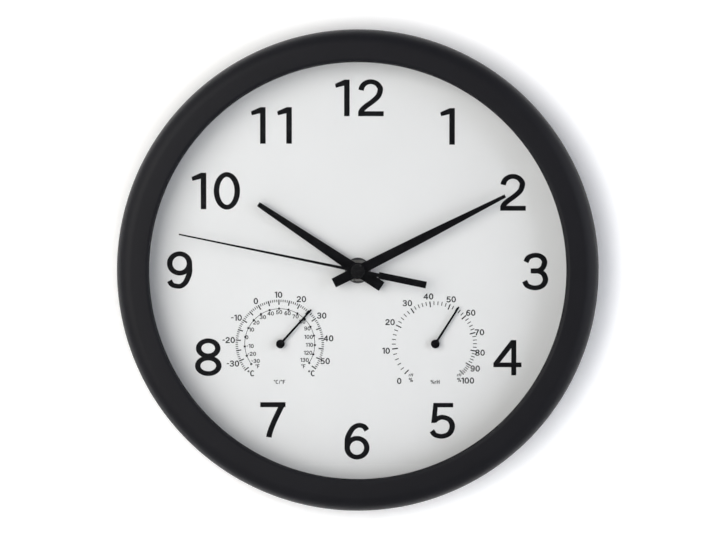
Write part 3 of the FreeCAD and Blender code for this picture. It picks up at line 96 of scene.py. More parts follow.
# Steps round an oval, the shifts at which a bold sign is struck, and how near points become one.
OVAL_STEPS = 62
BOLD_STEPS = 24
STRIKES = ((-0.9, -0.5), (0.9, -0.5), (0, 0.9))
WELD = 1e-4


def outline_arc(middle, reach, start, end, steps=40):
    """Points of an ellipse from one angle to another, in degrees anticlockwise from the right:
    the middle plus the two reaches times the angle's cosine and sine."""
    turn = np.radians(np.linspace(start, end, steps))
    return np.column_stack((middle[0] + reach[0] * np.cos(turn), middle[1] + reach[1] * np.sin(turn)))


def smooth_line(points, steps):
    """A Catmull-Rom line through the points: between two of them it is the cubic whose slope at
    each is half the chord between its neighbours. Past each end the first step is mirrored."""
    points = np.asarray(points, float)
    padded = np.vstack((2 * points[0] - points[1], points, 2 * points[-1] - points[-2]))[:, None]
    share = np.linspace(0, 1, steps, endpoint=False)[:, None]
    before, here, after, beyond = padded[:-3], padded[1:-2], padded[2:-1], padded[3:]
    bend = 2 * before - 5 * here + 4 * after - beyond
    twist = 3 * (here - after) + beyond - before
    line = here + (share * (after - before) + share**2 * bend + share**3 * twist) / 2
    return np.vstack((line.reshape(-1, 2), points[-1]))


def stroke(line, pen=PEN):
    """The quads of a pen stroke along a line: each point goes out to both sides along the line's
    normal by half the pen, whose width differs for upright and level strokes."""
    way = np.gradient(line, axis=0)
    normal = np.column_stack((-way[:, 1], way[:, 0])) / np.linalg.norm(way, axis=1)[:, None]
    half = normal * np.array(pen) / 2
    left, right = line + half, line - half
    return list(np.stack((left[:-1], right[:-1], right[1:], left[1:]), axis=1))


def loop(middle, reach, pen=PEN, steps=OVAL_STEPS):
    """A closed oval stroke, with a small overlap where it ends."""
    return stroke(outline_arc(middle, reach, 0, 366, steps), pen)


def bar(left, low, right, high):
    """An upright rectangle as one polygon."""
    return [np.array(((left, low), (right, low), (right, high), (left, high)))]


def polygon(*corners):
    """One polygon with these corners."""
    return [np.array(corners, float)]


def sign_polygons(steps):
    """The polygons and pen strokes of each sign, in drawing units from its left edge and foot. An
    oval has as many steps as asked for, and a stretch of a curve a sixth of them."""

    def oval(middle, reach, pen=PEN):
        return loop(middle, reach, pen, steps)

    def curve(points):
        return stroke(smooth_line(points, steps // 6))

    two = np.vstack((
        outline_arc((12.5, 25.2), (9.6, 8.9), 177, 8, steps=9),
        ((19.9, 19.9), (13.9, 14.3), (7.9, 10.0), (3.9, 6.2), (2.6, 2.8)),
    ))
    three_top = (
        (3.2, 27.5), (6.1, 32.3), (13.1, 34.3), (19.2, 32.3), (21.8, 27.5), (19.6, 21.3), (14.5, 18.7),
        (8.0, 18.7),
    )
    three_foot = (
        (8.0, 18.7), (14.5, 18.7), (20.3, 16.1), (22.75, 10.0), (19.8, 4.2), (12.8, 1.8), (5.1, 3.8),
        (1.9, 8.6),
    )
    five = (
        (4.4, 17.0), (6.0, 18.7), (9.2, 20.4), (13.2, 21.0), (19.6, 18.4), (22.3, 12.0), (19.4, 4.9),
        (12.5, 2.0), (5.3, 3.4), (1.9, 7.45),
    )
    six = ((3.1, 12.4), (3.5, 20.7), (6.8, 28.0), (10.1, 31.7), (14.8, 33.55), (19.9, 32.2), (22.7, 28.5))
    seven = ((21.5, 31.8), (17.5, 23.6), (13.9, 16.0), (11.0, 9.0), (9.1, 3.0), (8.6, 0.0))
    nine = ((22.25, 23.5), (22.1, 15.2), (19.1, 7.25), (16.2, 3.7), (12.1, 1.9), (5.4, 3.2), (2.2, 7.4))
    return {
        "0": oval((13.05, 18.2), (10.3, 16.2)),
        "1": bar(9.1, 0, 14.6, 36.2) + polygon((0, 32), (0.9, 28.1), (9.3, 30.2), (9.5, 36.2)),
        "2": curve(two) + bar(0, 0, 25.4, 4.9),
        "3": curve(three_top) + curve(three_foot),
        "4": bar(17.8, 0, 22.8, 35.2) + bar(0, 8.1, 28, 12.8)
        + polygon((0, 12.4), (6.35, 12.6), (18.0, 27.3), (18.0, 35.2), (17.5, 35.2)),
        "5": bar(3.4, 30.9, 23.2, 35.3) + curve(five)
        + polygon((3.4, 35.2), (1.3, 15.3), (5.5, 15.3), (7.0, 21.8), (7.8, 31.2)),
        "6": oval((12.8, 11.1), (9.75, 9.4)) + curve(six),
        "7": bar(0, 30.1, 25.2, 35.1) + curve(seven),
        "8": oval((13.06, 26.95), (9.5, 7.55)) + oval((13.1, 9.5), (10.5, 7.75)),
        "9": oval((12.4, 24.6), (9.8, 9.6)) + curve(nine),
        "-": bar(0, 15.6, 13, 20.4),
        "/": polygon((0, 0), (4, 0), (16, 36), (12, 36)),
        "°": oval((5.4, 30.6), (3.8, 3.8), FINE_PEN),
        "C": stroke(outline_arc((13.5, 18), (11, 16), 48, 312)),
        "F": bar(0, 0, 5.5, 36) + bar(0, 31.2, 21, 36) + bar(0, 15.6, 18, 20.4),
        "H": bar(0, 0, 5.5, 36) + bar(19.5, 0, 25, 36) + bar(0, 15.6, 25, 20.4),
        "r": bar(0, 0, 5, 25) + curve(((2.5, 15.0), (5.0, 20.2), (13.0, 22.8))),
        "%": oval((7, 27), (4.8, 6.6), FINE_PEN) + oval((27, 9), (4.8, 6.6), FINE_PEN)
        + polygon((8, 0), (11.5, 0), (26, 36), (22.5, 36)),
    }


def united(polygons):
    """One flat shape that covers all the polygons, as points and triangles. A Delaunay
    triangulation is cut along every edge, and a triangle stays where a polygon holds it."""
    turned_left = []
    for corners in polygons:
        x, y = corners.T
        turn = np.sum(x * np.roll(y, -1) - y * np.roll(x, -1))
        turned_left.append(corners if turn > 0 else corners[::-1])
    starts = np.cumsum([0] + [len(corners) for corners in turned_left])
    faces = [list(range(first, last)) for first, last in zip(starts[:-1], starts[1:])]
    result = delaunay_2d_cdt(np.vstack(turned_left).tolist(), [], faces, 0, WELD)
    held = [face for face, sources in zip(result[2], result[5]) if sources]
    used, triangles = np.unique(np.array(held), return_inverse=True)
    return np.array(result[0])[used], triangles.reshape(-1, 3)


def joined(shapes):
    """Several flat shapes as one, each one's triangles counted on from the points before it."""
    starts = np.cumsum([0] + [len(points) for points, _ in shapes[:-1]])
    points = np.vstack([points for points, _ in shapes])
    return points, np.vstack([triangles + start for (_, triangles), start in zip(shapes, starts)])


SIGNS = {sign: united(polygons) for sign, polygons in sign_polygons(OVAL_STEPS).items()}
BOLD_SIGNS = {
    sign: united([corners + shift for corners in polygons for shift in STRIKES])
    for sign, polygons in sign_polygons(BOLD_STEPS).items()
}


def word(text, height, middle, gap=SMALL_GAP, slant=0.0, signs=BOLD_SIGNS):
    """Signs in a row with a gap between them, scaled to a capital's height, leaned by the slant
    and moved so that the row's box is centred on the middle. Small words take the bold signs,
    which are struck three times with small shifts."""
    shapes = []
    reach = 0.0
    for sign in text:
        points, triangles = signs[sign]
        shapes.append((points + (reach, 0), triangles))
        reach += points[:, 0].max() + gap
    points, triangles = joined(shapes)
    points = points - ((reach - gap) / 2, CAPITAL / 2)
    points = np.column_stack((points[:, 0] + slant * points[:, 1], points[:, 1]))
    return points * height / CAPITAL + middle, triangles


def radial_marks(centre, angles, inner, outer, width):
    """Straight marks on a round scale: each is a quad from the inner to the outer radius at its
    angle, clockwise from the top, and half the width to either side."""
    turn = np.radians(angles)
    out = np.column_stack((np.sin(turn), np.cos(turn)))
    side = np.column_stack((np.cos(turn), -np.sin(turn))) * width / 2
    foot, head = out * inner, out * outer
    corners = np.stack((foot - side, foot + side, head + side, head - side), axis=1)
    quad = np.array(((0, 1, 2), (0, 2, 3)))
    triangles = (np.arange(len(turn))[:, None, None] * 4 + quad).reshape(-1, 3)
    return corners.reshape(-1, 2) + centre, triangles


def round_line(centre, radius, width, start, end, steps=160):
    """A band of a circle: two rows of points at the radius less and plus half the width."""
    turn = np.radians(np.linspace(start, end, steps))
    out = np.column_stack((np.sin(turn), np.cos(turn)))
    points = np.vstack((out * (radius - width / 2), out * (radius + width / 2))) + centre
    inner = np.arange(steps - 1)
    outer = inner + steps
    inner_half = np.column_stack((inner, inner + 1, outer + 1))
    outer_half = np.column_stack((inner, outer + 1, outer))
    return points, np.vstack((inner_half, outer_half))


def in_frame(points, level):
    """Drawing points, in millimetres from the dial's axis, as places in the frame at one level."""
    out = np.full(len(points), -level * MM)
    return np.column_stack((points[:, 0] * MM, out, AXIS_HEIGHT + points[:, 1] * MM))


def closed_volume(points, faces):
    """Six times the volume that the faces close: the sum of each corner triple's box product."""
    first = points[faces[:, 0]]
    fans = range(1, faces.shape[1] - 1)
    return sum(np.sum(first * np.cross(points[faces[:, k]], points[faces[:, k + 1]])) for k in fans)


def new_piece(name, points, face_sets, material, body, sharp=30):
    """A mesh piece that rides on a body and takes its finish from a slot. Where the volume that its
    faces close comes out negative, every face is turned round, so that they all look outwards."""
    middle = points.mean(axis=0)
    if sum(closed_volume(points - middle, faces) for faces in face_sets) < 0:
        face_sets = [faces[:, ::-1] for faces in face_sets]
    mesh = bpy.data.meshes.new(name)
    mesh.from_pydata(points.tolist(), [], [face for faces in face_sets for face in faces.tolist()])
    mesh.shade_smooth()
    mesh.set_sharp_from_angle(angle=math.radians(sharp))
    mesh.materials.append(material)
    made = bpy.data.objects.new(name, mesh)
    bpy.context.scene.collection.objects.link(made)
    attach(made, body)
    return made


def flat_piece(name, shapes, face_level, foot_level, material, body):
    """A flat piece between two levels: every triangle at its face, again turned round at its foot,
    and a wall under each directed edge that no other triangle runs back along."""
    flat, triangles = joined(shapes)
    edges = np.vstack((triangles[:, :2], triangles[:, 1:], triangles[:, [2, 0]]))
    count = len(flat)
    single = ~np.isin(edges[:, 0] * count + edges[:, 1], edges[:, 1] * count + edges[:, 0])
    start, end = edges[single].T
    walls = np.column_stack((start, start + count, end + count, end))
    sheets = np.vstack((triangles, triangles[:, ::-1] + count))
    points = np.vstack((in_frame(flat, face_level), in_frame(flat, foot_level)))
    return new_piece(name, points, [sheets, walls], material, body)


def printed(name, shapes, material):
    """A print that stands a few hundredths proud of the dial."""
    flat_piece(name, shapes, DIAL_FACE + PRINT_PROUD, DIAL_FACE - PRINT_SUNK, material, "case")


def rounded_profile(corners):
    """A closed profile whose corners, each with its radius, are cut by arcs. An arc touches both
    edges at its radius over the tangent of half the corner's angle, and turns evenly between. It has
    four points and two more for each millimetre of its radius."""
    places = np.array([corner[:2] for corner in corners])
    runs = []
    for index, (_, _, radius) in enumerate(corners):
        corner = places[index]
        if radius == 0:
            runs.append(corner[None])
            continue
        back = places[index - 1] - corner
        back /= np.linalg.norm(back)
        on = places[(index + 1) % len(places)] - corner
        on /= np.linalg.norm(on)
        half = math.acos(back @ on) / 2
        middle = corner + (back + on) / np.linalg.norm(back + on) * radius / math.sin(half)
        start = corner + back * radius / math.tan(half) - middle
        end = corner + on * radius / math.tan(half) - middle
        sweep = math.pi - 2 * half
        share = np.linspace(0, 1, 4 + int(2 * radius))[:, None]
        swing = np.sin((1 - share) * sweep) * start + np.sin(share * sweep) * end
        runs.append(middle + swing / math.sin(sweep))
    return np.vstack(runs)


def turned(profile):
    """A closed profile of radius and level carried round the dial's axis: a point at angle t is at
    radius times sine t across and radius times cosine t up, and its level comes out of the wall."""
    turn = np.linspace(0, 2 * np.pi, TURN_STEPS, endpoint=False)
    radius, level = profile.T
    across = np.outer(np.sin(turn), radius)
    up = np.outer(np.cos(turn), radius)
    out = np.broadcast_to(-level, across.shape)
    points = np.stack((across * MM, out * MM, AXIS_HEIGHT + up * MM), axis=-1).reshape(-1, 3)
    count = len(profile)
    row = np.arange(TURN_STEPS)[:, None] * count
    ahead = np.roll(row, -1, axis=0)
    here = np.arange(count)[None]
    beside = (here + 1) % count
    return points, np.stack((row + here, row + beside, ahead + beside, ahead + here), axis=-1).reshape(-1, 4)


def build_frame_ring(material):
    """The black frame: a flat face, a rolled outer edge, a skirt with a little draft, a lip with a
    chamfer over the glass, and the guide behind it."""
    under = FRAME_FACE - FACE_WALL
    corner_radius = FRAME_RADIUS + CORNER_BEYOND
    foot_radius = corner_radius - SKIRT_DRAFT
    guide_outer = GUIDE_INNER + GUIDE_WALL
    guide_foot = under - GUIDE_DEPTH
    corners = [
        (foot_radius, SKIRT_FOOT, RIM_ROUND),
        (corner_radius, FRAME_FACE, ROLL_RADIUS),
        (LIP_LINE_OUTER, FRAME_FACE, EDGE_ROUND),
        (LIP_LINE_INNER, FRAME_FACE - LIP_LINE_DROP, EDGE_ROUND),
        (LIP_RADIUS, under, EDGE_ROUND),
        (GUIDE_INNER, under, 0),
        (GUIDE_INNER, guide_foot, EDGE_ROUND),
        (guide_outer, guide_foot, EDGE_ROUND),
        (guide_outer, under, 0),
        (corner_radius - SKIRT_WALL, under, ROLL_RADIUS - FACE_WALL),
        (foot_radius - SKIRT_WALL, SKIRT_FOOT, RIM_ROUND),
    ]
    points, faces = turned(rounded_profile(corners))
    ring = new_piece("frame_ring", points, [faces], material, "case", sharp=40)
    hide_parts("front_frame")


def build_hours(material):
    """The twelve hour numbers, each upright at its own place."""
    shapes = [
        word(text, HOUR_HEIGHT, place, HOUR_GAPS.get(text, 0), signs=SIGNS)
        for text, place in HOUR_PLACES.items()
    ]
    printed("hour_numbers", shapes, material)


# The hands: angles at rest clockwise from the top, and millimetres along and across the blade. A
# stretch has its low end, the half width there, its high end and the half width there.
HAND_HUB = 4.2
SECOND_HUB = 3.3
HOUR_BORE = 2.6
MINUTE_BORE = 1.8
SECOND_BORE = 1.02
HOUR_ANGLE = 303.8
MINUTE_ANGLE = 63.06
SECOND_ANGLE = 281.6
HOUR_BLADE = ((3.0, 2.8, 31.0, 2.08), (31.0, 2.08, 62.2, 1.25), (-14.9, 2.65, -3.0, 2.8))
MINUTE_BLADE = ((3.0, 2.63, 39.0, 2.14), (39.0, 2.14, 85.8, 0.86), (-14.0, 2.52, -3.0, 2.65))
SECOND_BLADE = (
    (2.6, 0.9, 14.0, 0.7),
    (13.9, 0.7, 94.5, 0.38),
    (-11.1, 1.0, -2.6, 1.1),
    (-36.2, 1.78, -11.0, 1.74),
)


def turned_shape(shape, angle):
    """A flat shape turned clockwise about the dial's axis by an angle in degrees."""
    points, triangles = shape
    turn = math.radians(angle)
    cos, sin = math.cos(turn), math.sin(turn)
    return points @ np.array(((cos, -sin), (sin, cos))), triangles


def tapered(low, low_half, high, high_half):
    """A blade's straight stretch along its length, with its half width at each end."""
    return polygon((-low_half, low), (low_half, low), (high_half, high), (-high_half, high))


def hub_ring(bore, radius):
    """A flat ring round the dial's axis."""
    middle = (bore + radius) / 2
    return loop((0, 0), (middle, middle), (radius - bore, radius - bore))


def build_hand(node, body, bore, hub, stretches, angle, material):
    """A stamped hand between the levels of the node it stands for: its blade and tail stretches
    and its hub ring in one flat piece."""
    low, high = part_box(node)
    outline = united(hub_ring(bore, hub) + [corners for ends in stretches for corners in tapered(*ends)])
    shape = turned_shape(outline, angle)
    hand = flat_piece(node + "_blade", [shape], -low.y / MM, -high.y / MM, material, body)
    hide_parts(node)


def build_hands(material):
    """The hour, minute and second hands, each on its own body."""
    build_hand("hour_hand", "hour_group", HOUR_BORE, HAND_HUB, HOUR_BLADE, HOUR_ANGLE, material)
    build_hand("minute_hand", "minute_group", MINUTE_BORE, HAND_HUB, MINUTE_BLADE, MINUTE_ANGLE, material)
    build_hand("second_hand", "seconds_group", SECOND_BORE, SECOND_HUB, SECOND_BLADE, SECOND_ANGLE, material)


# The two small instruments: places in millimetres from the dial's axis, angles clockwise from the
# top, and marks from their inner to their outer radius.
THERMOMETER_CENTRE = np.array((-40.4, -38.3))
HYGROMETER_CENTRE = np.array((40.4, -38.3))
THERMOMETER_SHIFT = (-0.35, 0)
HYGROMETER_SHIFT = (-0.4, 0)
SMALL_HEIGHT = 3.0
TINY_HEIGHT = 2.0
CAPTION_LEVEL = -58.3
RING_LINE = 0.27
FINE_LINE = 0.42
MARK_LINE = 0.6
DARK_LINE = 0.9
TURN_PER_CELSIUS = 2.8
CELSIUS_AT_TOP = 10.4
CELSIUS_FIVES = (20.4, 23.1)
CELSIUS_ONES = (21.8, 23.1)
CELSIUS_PLACES = {
    "-30": (-65.2, -48.7),
    "-20": (-67.4, -36.4),
    "-10": (-63.3, -24.7),
    "0": (-53.2, -16.0),
    "10": (-41.4, -12.7),
    "20": (-29.4, -15.0),
    "30": (-18.8, -23.6),
    "40": (-15.3, -35.5),
    "50": (-17.0, -47.4),
}
FAHRENHEIT_TENS = (17.8, 18.9)
FAHRENHEIT_RING = 18.3
FAHRENHEIT_NUMBERS = 18.5
THERMOMETER_WORDS = (
    ("°C", (-55.9, -53.8), SMALL_HEIGHT),
    ("°C", (-24.2, -53.8), SMALL_HEIGHT),
    ("°F", (-52.4, -50.1), TINY_HEIGHT),
    ("°F", (-28.4, -50.1), TINY_HEIGHT),
    ("°C/°F", (-40.9, CAPTION_LEVEL), TINY_HEIGHT),
)
HUMIDITY_TENS = (19.2, 22.2)
HUMIDITY_TWOS = (20.2, 22.2)
HUMIDITY_TURNS = (-135.5, -97.2, -64.0, -33.6, -6.2, 21.8, 48.1, 74.6, 100.1, 121.3, 136.3)
HUMIDITY_PLACES = {
    "0": (21.7, -57.8),
    "10": (14.8, -42.0),
    "20": (16.9, -27.0),
    "30": (25.9, -17.1),
    "40": (36.9, -13.6),
    "50": (48.8, -15.1),
    "60": (59.0, -22.1),
    "70": (63.6, -32.3),
    "80": (63.9, -43.0),
    "90": (61.4, -51.3),
    "100": (57.5, -57.6),
}
# At each end of the humidity scale a leaning "rH" stands over a percent sign.
END_SIGNS_OUT = 12.6
RH_HEIGHT = 1.6
RH_LEVEL = -54.6
RH_SLANT = 0.2
PERCENT_HEIGHT = 2.2
PERCENT_LEVEL = -57.2


def build_thermometer_scale(material):
    """Degrees Celsius outside and Fahrenheit inside. One degree Celsius is 2.8 degrees of turn, and
    10 degrees Celsius, which is 50 Fahrenheit, stands at the top. As in the picture, the print sits
    a third of a millimetre to the left and a degree of turn back. A Fahrenheit number stands a
    millimetre nearer the centre for each of its signs."""
    centre = THERMOMETER_CENTRE + THERMOMETER_SHIFT
    celsius = np.arange(-35, 56)
    celsius_turn = (celsius - CELSIUS_AT_TOP) * TURN_PER_CELSIUS
    five = celsius % 5 == 0
    fahrenheit = np.arange(-30, 131, 10)
    fahrenheit_turn = ((fahrenheit - 32) / 1.8 - CELSIUS_AT_TOP) * TURN_PER_CELSIUS
    shapes = [
        radial_marks(centre, celsius_turn[five], *CELSIUS_FIVES, MARK_LINE),
        radial_marks(centre, celsius_turn[~five], *CELSIUS_ONES, FINE_LINE),
        radial_marks(centre, fahrenheit_turn, *FAHRENHEIT_TENS, DARK_LINE),
        round_line(centre, FAHRENHEIT_RING, RING_LINE, fahrenheit_turn[0], fahrenheit_turn[-1]),
    ]
    shapes += [word(text, SMALL_HEIGHT, place) for text, place in CELSIUS_PLACES.items()]
    for value, angle in zip(fahrenheit, np.radians(fahrenheit_turn)):
        text = str(value)
        reach = FAHRENHEIT_NUMBERS - len(text)
        place = centre + reach * np.array((math.sin(angle), math.cos(angle)))
        shapes.append(word(text, TINY_HEIGHT, place))
    shapes += [word(text, height, place) for text, place, height in THERMOMETER_WORDS]
    printed("thermometer_scale", shapes, material)


def build_hygrometer_scale(material):
    """Percent of humidity on a scale whose steps widen and narrow as the strip's movement does:
    the tens have their own angles, and the marks between them are spaced by straight shares."""
    centre = HYGROMETER_CENTRE + HYGROMETER_SHIFT
    tens = np.arange(0, 101, 10)
    twos = np.arange(0, 101, 2)
    twos_turn = np.interp(twos[twos % 10 != 0], tens, HUMIDITY_TURNS)
    shapes = [
        radial_marks(centre, HUMIDITY_TURNS, *HUMIDITY_TENS, MARK_LINE),
        radial_marks(centre, twos_turn, *HUMIDITY_TWOS, FINE_LINE),
    ]
    shapes += [word(text, SMALL_HEIGHT, place) for text, place in HUMIDITY_PLACES.items()]
    middle = HYGROMETER_CENTRE[0]
    for across in (middle - END_SIGNS_OUT, middle + END_SIGNS_OUT):
        shapes.append(word("rH", RH_HEIGHT, (across, RH_LEVEL), slant=RH_SLANT))
        shapes.append(word("%", PERCENT_HEIGHT, (across, PERCENT_LEVEL)))
    shapes.append(word("%rH", TINY_HEIGHT, (middle, CAPTION_LEVEL)))
    printed("hygrometer_scale", shapes, material)


# The middle range of a noise, which a finish stretches over its own range, and the print's grain
# in millimetres and its gloss.
NOISE_LOW = 0.3
NOISE_HIGH = 0.7
INK_DEPTH = 0.002
INK_GLOSS = 0.08


def new_material(name):
    """An empty material with shader nodes."""
    material = bpy.data.materials.new(name)
    material.use_nodes = True
    return material


def add_node(material, kind, inputs=None, **settings):
    """One shader node. Inputs, by name or number, are set to a value or joined to another output."""
    tree = material.node_tree
    made = tree.nodes.new("ShaderNode" + kind)
    for name, value in settings.items():
        setattr(made, name, value)
    for key, value in (inputs or {}).items():
        if isinstance(value, bpy.types.NodeSocket):
            tree.links.new(value, made.inputs[key])
        else:
            made.inputs[key].default_value = value
    return made


def object_place(material):
    """Object coordinates, in metres."""
    return add_node(material, "TexCoord").outputs["Object"]


def grain(material, scale, detail=3.0, stretch=(1, 1, 1)):
    """Noise on Object coordinates. The scale counts its grains to the metre, and the stretch draws
    them out."""
    place = add_node(material, "Mapping", {"Vector": object_place(material), "Scale": stretch})
    return add_node(material, "TexNoise", {
        "Vector": place.outputs["Vector"],
        "Scale": scale,
        "Detail": detail,
        "Roughness": 0.5,
    }).outputs["Fac"]


def ramp(material, value, start, end, low=0.0, high=1.0, **settings):
    """A number that goes from low to high as the value goes from start to end."""
    limits = {0: value, 1: start, 2: end, 3: low, 4: high}
    return add_node(material, "MapRange", limits, **settings).outputs["Result"]


def between(material, share, low, high):
    """A number that goes from low to high as the noise goes through its middle range."""
    return ramp(material, share, NOISE_LOW, NOISE_HIGH, low, high)


def tinted(material, share, dark, light):
    """A colour between two, by the share."""
    return add_node(material, "Mix", {0: share, 6: (*dark, 1), 7: (*light, 1)}, data_type="RGBA").outputs[2]


def shader_of(material):
    """The material's main shader node."""
    return material.node_tree.nodes["Principled BSDF"]


def overpaint(material, share, colour):
    """Lays a colour over the finish's own, by the share."""
    target = shader_of(material).inputs["Base Color"]
    inputs = {0: share, 6: target.links[0].from_socket, 7: (*colour, 1)}
    mix = add_node(material, "Mix", inputs, data_type="RGBA")
    material.node_tree.links.new(mix.outputs[2], target)


def clear_by(material, share, shader):
    """Makes the material's surface the shader, with light let straight through by the share."""
    clear = add_node(material, "BsdfTransparent").outputs["BSDF"]
    mix = add_node(material, "MixShader", {0: share, 1: shader, 2: clear})
    output = material.node_tree.nodes["Material Output"]
    material.node_tree.links.new(mix.outputs["Shader"], output.inputs["Surface"])


def new_finish(name, colour, roughness, tint=0.06, tint_scale=60, grain_scale=900, depth=0.02, spread=0.06,
               stretch=(1, 1, 1), metallic=0.0, specular=0.5, level=None):
    """A moulded, painted or metal finish. Slow noise tints the colour, finer noise spreads the
    roughness, and the finest is the grain that stands up by its depth in millimetres."""
    material = new_material(name)
    shader = shader_of(material)
    join = material.node_tree.links.new
    slow = grain(material, tint_scale, stretch=stretch)
    fine = grain(material, grain_scale, detail=4.0, stretch=stretch)
    dark = [value * (1 - tint) for value in colour]
    light = [value * (1 + tint) for value in colour]
    join(tinted(material, between(material, slow, 0, 1), dark, light), shader.inputs["Base Color"])
    join(between(material, fine, roughness - spread, roughness + spread), shader.inputs["Roughness"])
    height = fine if level is None else level(material, fine)
    bump = add_node(material, "Bump", {"Strength": 1.0, "Distance": depth * MM, "Height": height})
    join(bump.outputs["Normal"], shader.inputs["Normal"])
    shader.inputs["Metallic"].default_value = metallic
    shader.inputs["Specular IOR Level"].default_value = specular
    return material


def wire_turns(material, fine):
    """Height of wound wire: bands across the bobbin with a little of the fine noise in them."""
    inputs = {"Vector": object_place(material), "Scale": 900.0, "Distortion": 0.4}
    wave = add_node(material, "TexWave", inputs, bands_direction="X", wave_profile="SIN").outputs["Fac"]
    return add_node(material, "Math", {0: wave, 1: fine}, operation="ADD").outputs["Value"]


def glass_finish(name):
    """Clear glass. Lamps shine through it, as its shadow rays are let past."""
    material = new_material(name)
    shader = shader_of(material)
    shader.inputs["Base Color"].default_value = (0.985, 0.995, 0.99, 1)
    shader.inputs["Transmission Weight"].default_value = 1.0
    shader.inputs["IOR"].default_value = 1.46
    wipe = grain(material, 25, detail=2.0)
    material.node_tree.links.new(between(material, wipe, 0.0, 0.012), shader.inputs["Roughness"])
    shadow = add_node(material, "LightPath").outputs["Is Shadow Ray"]
    clear_by(material, shadow, shader.outputs["BSDF"])
    return material


def battery_finish(name):
    """A plain printed sleeve: dark over most of its length, with a copper-coloured band at one end."""
    band_start = 0.72
    band_blur = 0.0001
    material = new_finish(name, (0.055, 0.06, 0.07), 0.3, grain_scale=500, depth=0.01)
    low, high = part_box("battery")
    across = add_node(material, "SeparateXYZ", {"Vector": object_place(material)}).outputs["X"]
    edge = low.x + (high.x - low.x) * band_start
    overpaint(material, ramp(material, across, edge - band_blur, edge), (0.55, 0.27, 0.09))
    return material


def board_finish(name):
    """Green laminate with lighter tracks in bands."""
    material = new_finish(name, (0.02, 0.13, 0.05), 0.35, grain_scale=1500)
    inputs = {"Vector": object_place(material), "Scale": 260.0, "Distortion": 2.5, "Detail": 0.0}
    wave = add_node(material, "TexWave", inputs, bands_direction="DIAGONAL").outputs["Fac"]
    overpaint(material, ramp(material, wave, start=0.72, end=0.78), (0.05, 0.24, 0.09))
    return material


def ink(name, colour):
    """The thin flat ink of the dial's print."""
    return new_finish(name, colour, 0.5, grain_scale=2500, depth=INK_DEPTH, specular=INK_GLOSS)


def build_finishes():
    """A finish for each material slot of the record."""
    steel = {"metallic": 1.0, "tint": 0.05, "grain_scale": 1800, "depth": 0.004}
    lathe = {"stretch": (1, 30, 1), "metallic": 1.0, "grain_scale": 300, "depth": 0.004}
    return {
        "frame_black": new_finish(
            "satin black moulding", (0.0105, 0.0105, 0.0135), 0.5,
            grain_scale=2600, depth=0.003, spread=0.04, specular=0.18,
        ),
        "case_black": new_finish(
            "spark-grained black moulding", (0.022, 0.022, 0.024), 0.55, grain_scale=2200, depth=0.03,
        ),
        "clear_glass": glass_finish("clear float glass"),
        "dial_white": new_finish(
            "matt white dial board", (0.86, 0.862, 0.868), 0.55,
            tint=0.008, tint_scale=35, grain_scale=3000, depth=0.003, specular=0.3,
        ),
        "zinc_steel": new_finish("zinc plated steel", (0.1, 0.1, 0.105), 0.34, **steel),
        "nut_steel": new_finish("nickel plated nut", (0.27, 0.265, 0.26), 0.3, **steel),
        "bush_brass": new_finish("turned brass bush", (0.72, 0.53, 0.25), 0.28, **lathe),
        "movement_black": new_finish(
            "fine-grained movement moulding", (0.026, 0.026, 0.028), 0.5, grain_scale=3200, depth=0.02,
        ),
        "knob_white": new_finish(
            "white moulded knob", (0.76, 0.76, 0.73), 0.4, tint=0.02, depth=0.004, grain_scale=1500,
        ),
        "wheel_acetal": new_finish(
            "white acetal wheel", (0.82, 0.81, 0.77), 0.38, tint=0.02, depth=0.003, grain_scale=1500,
        ),
        "magnet_grey": new_finish(
            "sintered magnet", (0.12, 0.12, 0.13), 0.55, grain_scale=4000, depth=0.02, metallic=0.7,
        ),
        "stator_steel": new_finish(
            "rolled stator steel", (0.55, 0.55, 0.57), 0.3, stretch=(6, 1, 1), **steel,
        ),
        "bobbin_plastic": new_finish("black bobbin moulding", (0.05, 0.05, 0.05), 0.45, depth=0.01),
        "coil_copper": new_finish(
            "enamelled copper winding", (0.62, 0.24, 0.1), 0.3,
            metallic=0.85, depth=0.05, grain_scale=1200, level=wire_turns,
        ),
        "board_green": board_finish("green circuit laminate"),
        "chip_black": new_finish(
            "black epoxy drop", (0.012, 0.012, 0.013), 0.2, grain_scale=700, depth=0.02,
        ),
        "crystal_can": new_finish("plated crystal can", (0.75, 0.75, 0.76), 0.18, **steel),
        "contact_nickel": new_finish(
            "nickel plated spring strip", (0.66, 0.65, 0.62), 0.26, stretch=(1, 1, 5), **steel,
        ),
        "battery_label": battery_finish("plain battery sleeve"),
        "hand_black": new_finish(
            "black lacquered aluminium", (0.003, 0.003, 0.0042), 0.4,
            grain_scale=1600, depth=INK_DEPTH, specular=INK_GLOSS,
        ),
        "arbor_brass": new_finish("turned brass arbor", (0.7, 0.51, 0.24), 0.26, **lathe),
        "bridge_plastic": new_finish(
            "black bridge moulding", (0.035, 0.035, 0.036), 0.48, grain_scale=2400, depth=0.015,
        ),
        "bimetal": new_finish(
            "rolled bimetal strip", (0.5, 0.45, 0.36), 0.32, stretch=(1, 8, 1), **steel,
        ),
        "humidity_strip": new_finish(
            "coated humidity strip", (0.56, 0.4, 0.18), 0.36, stretch=(1, 8, 1), **steel,
        ),
    }


def dress_nodes(finishes):
    """Gives every carried-over node the finish of its slot, and the cap a glossier black. The light
    that comes off the dial passes the glass by."""
    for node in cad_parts.values():
        for holder in node.material_slots:
            holder.material = finishes[holder.material.name]
    gloss = new_finish(
        "glossy black cap", (0.004, 0.004, 0.005), 0.24, grain_scale=1600, depth=0.001, specular=0.3,
    )
    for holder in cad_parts["second_hand_cap"].material_slots:
        holder.material = gloss
    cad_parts["front_glass"].visible_diffuse = False


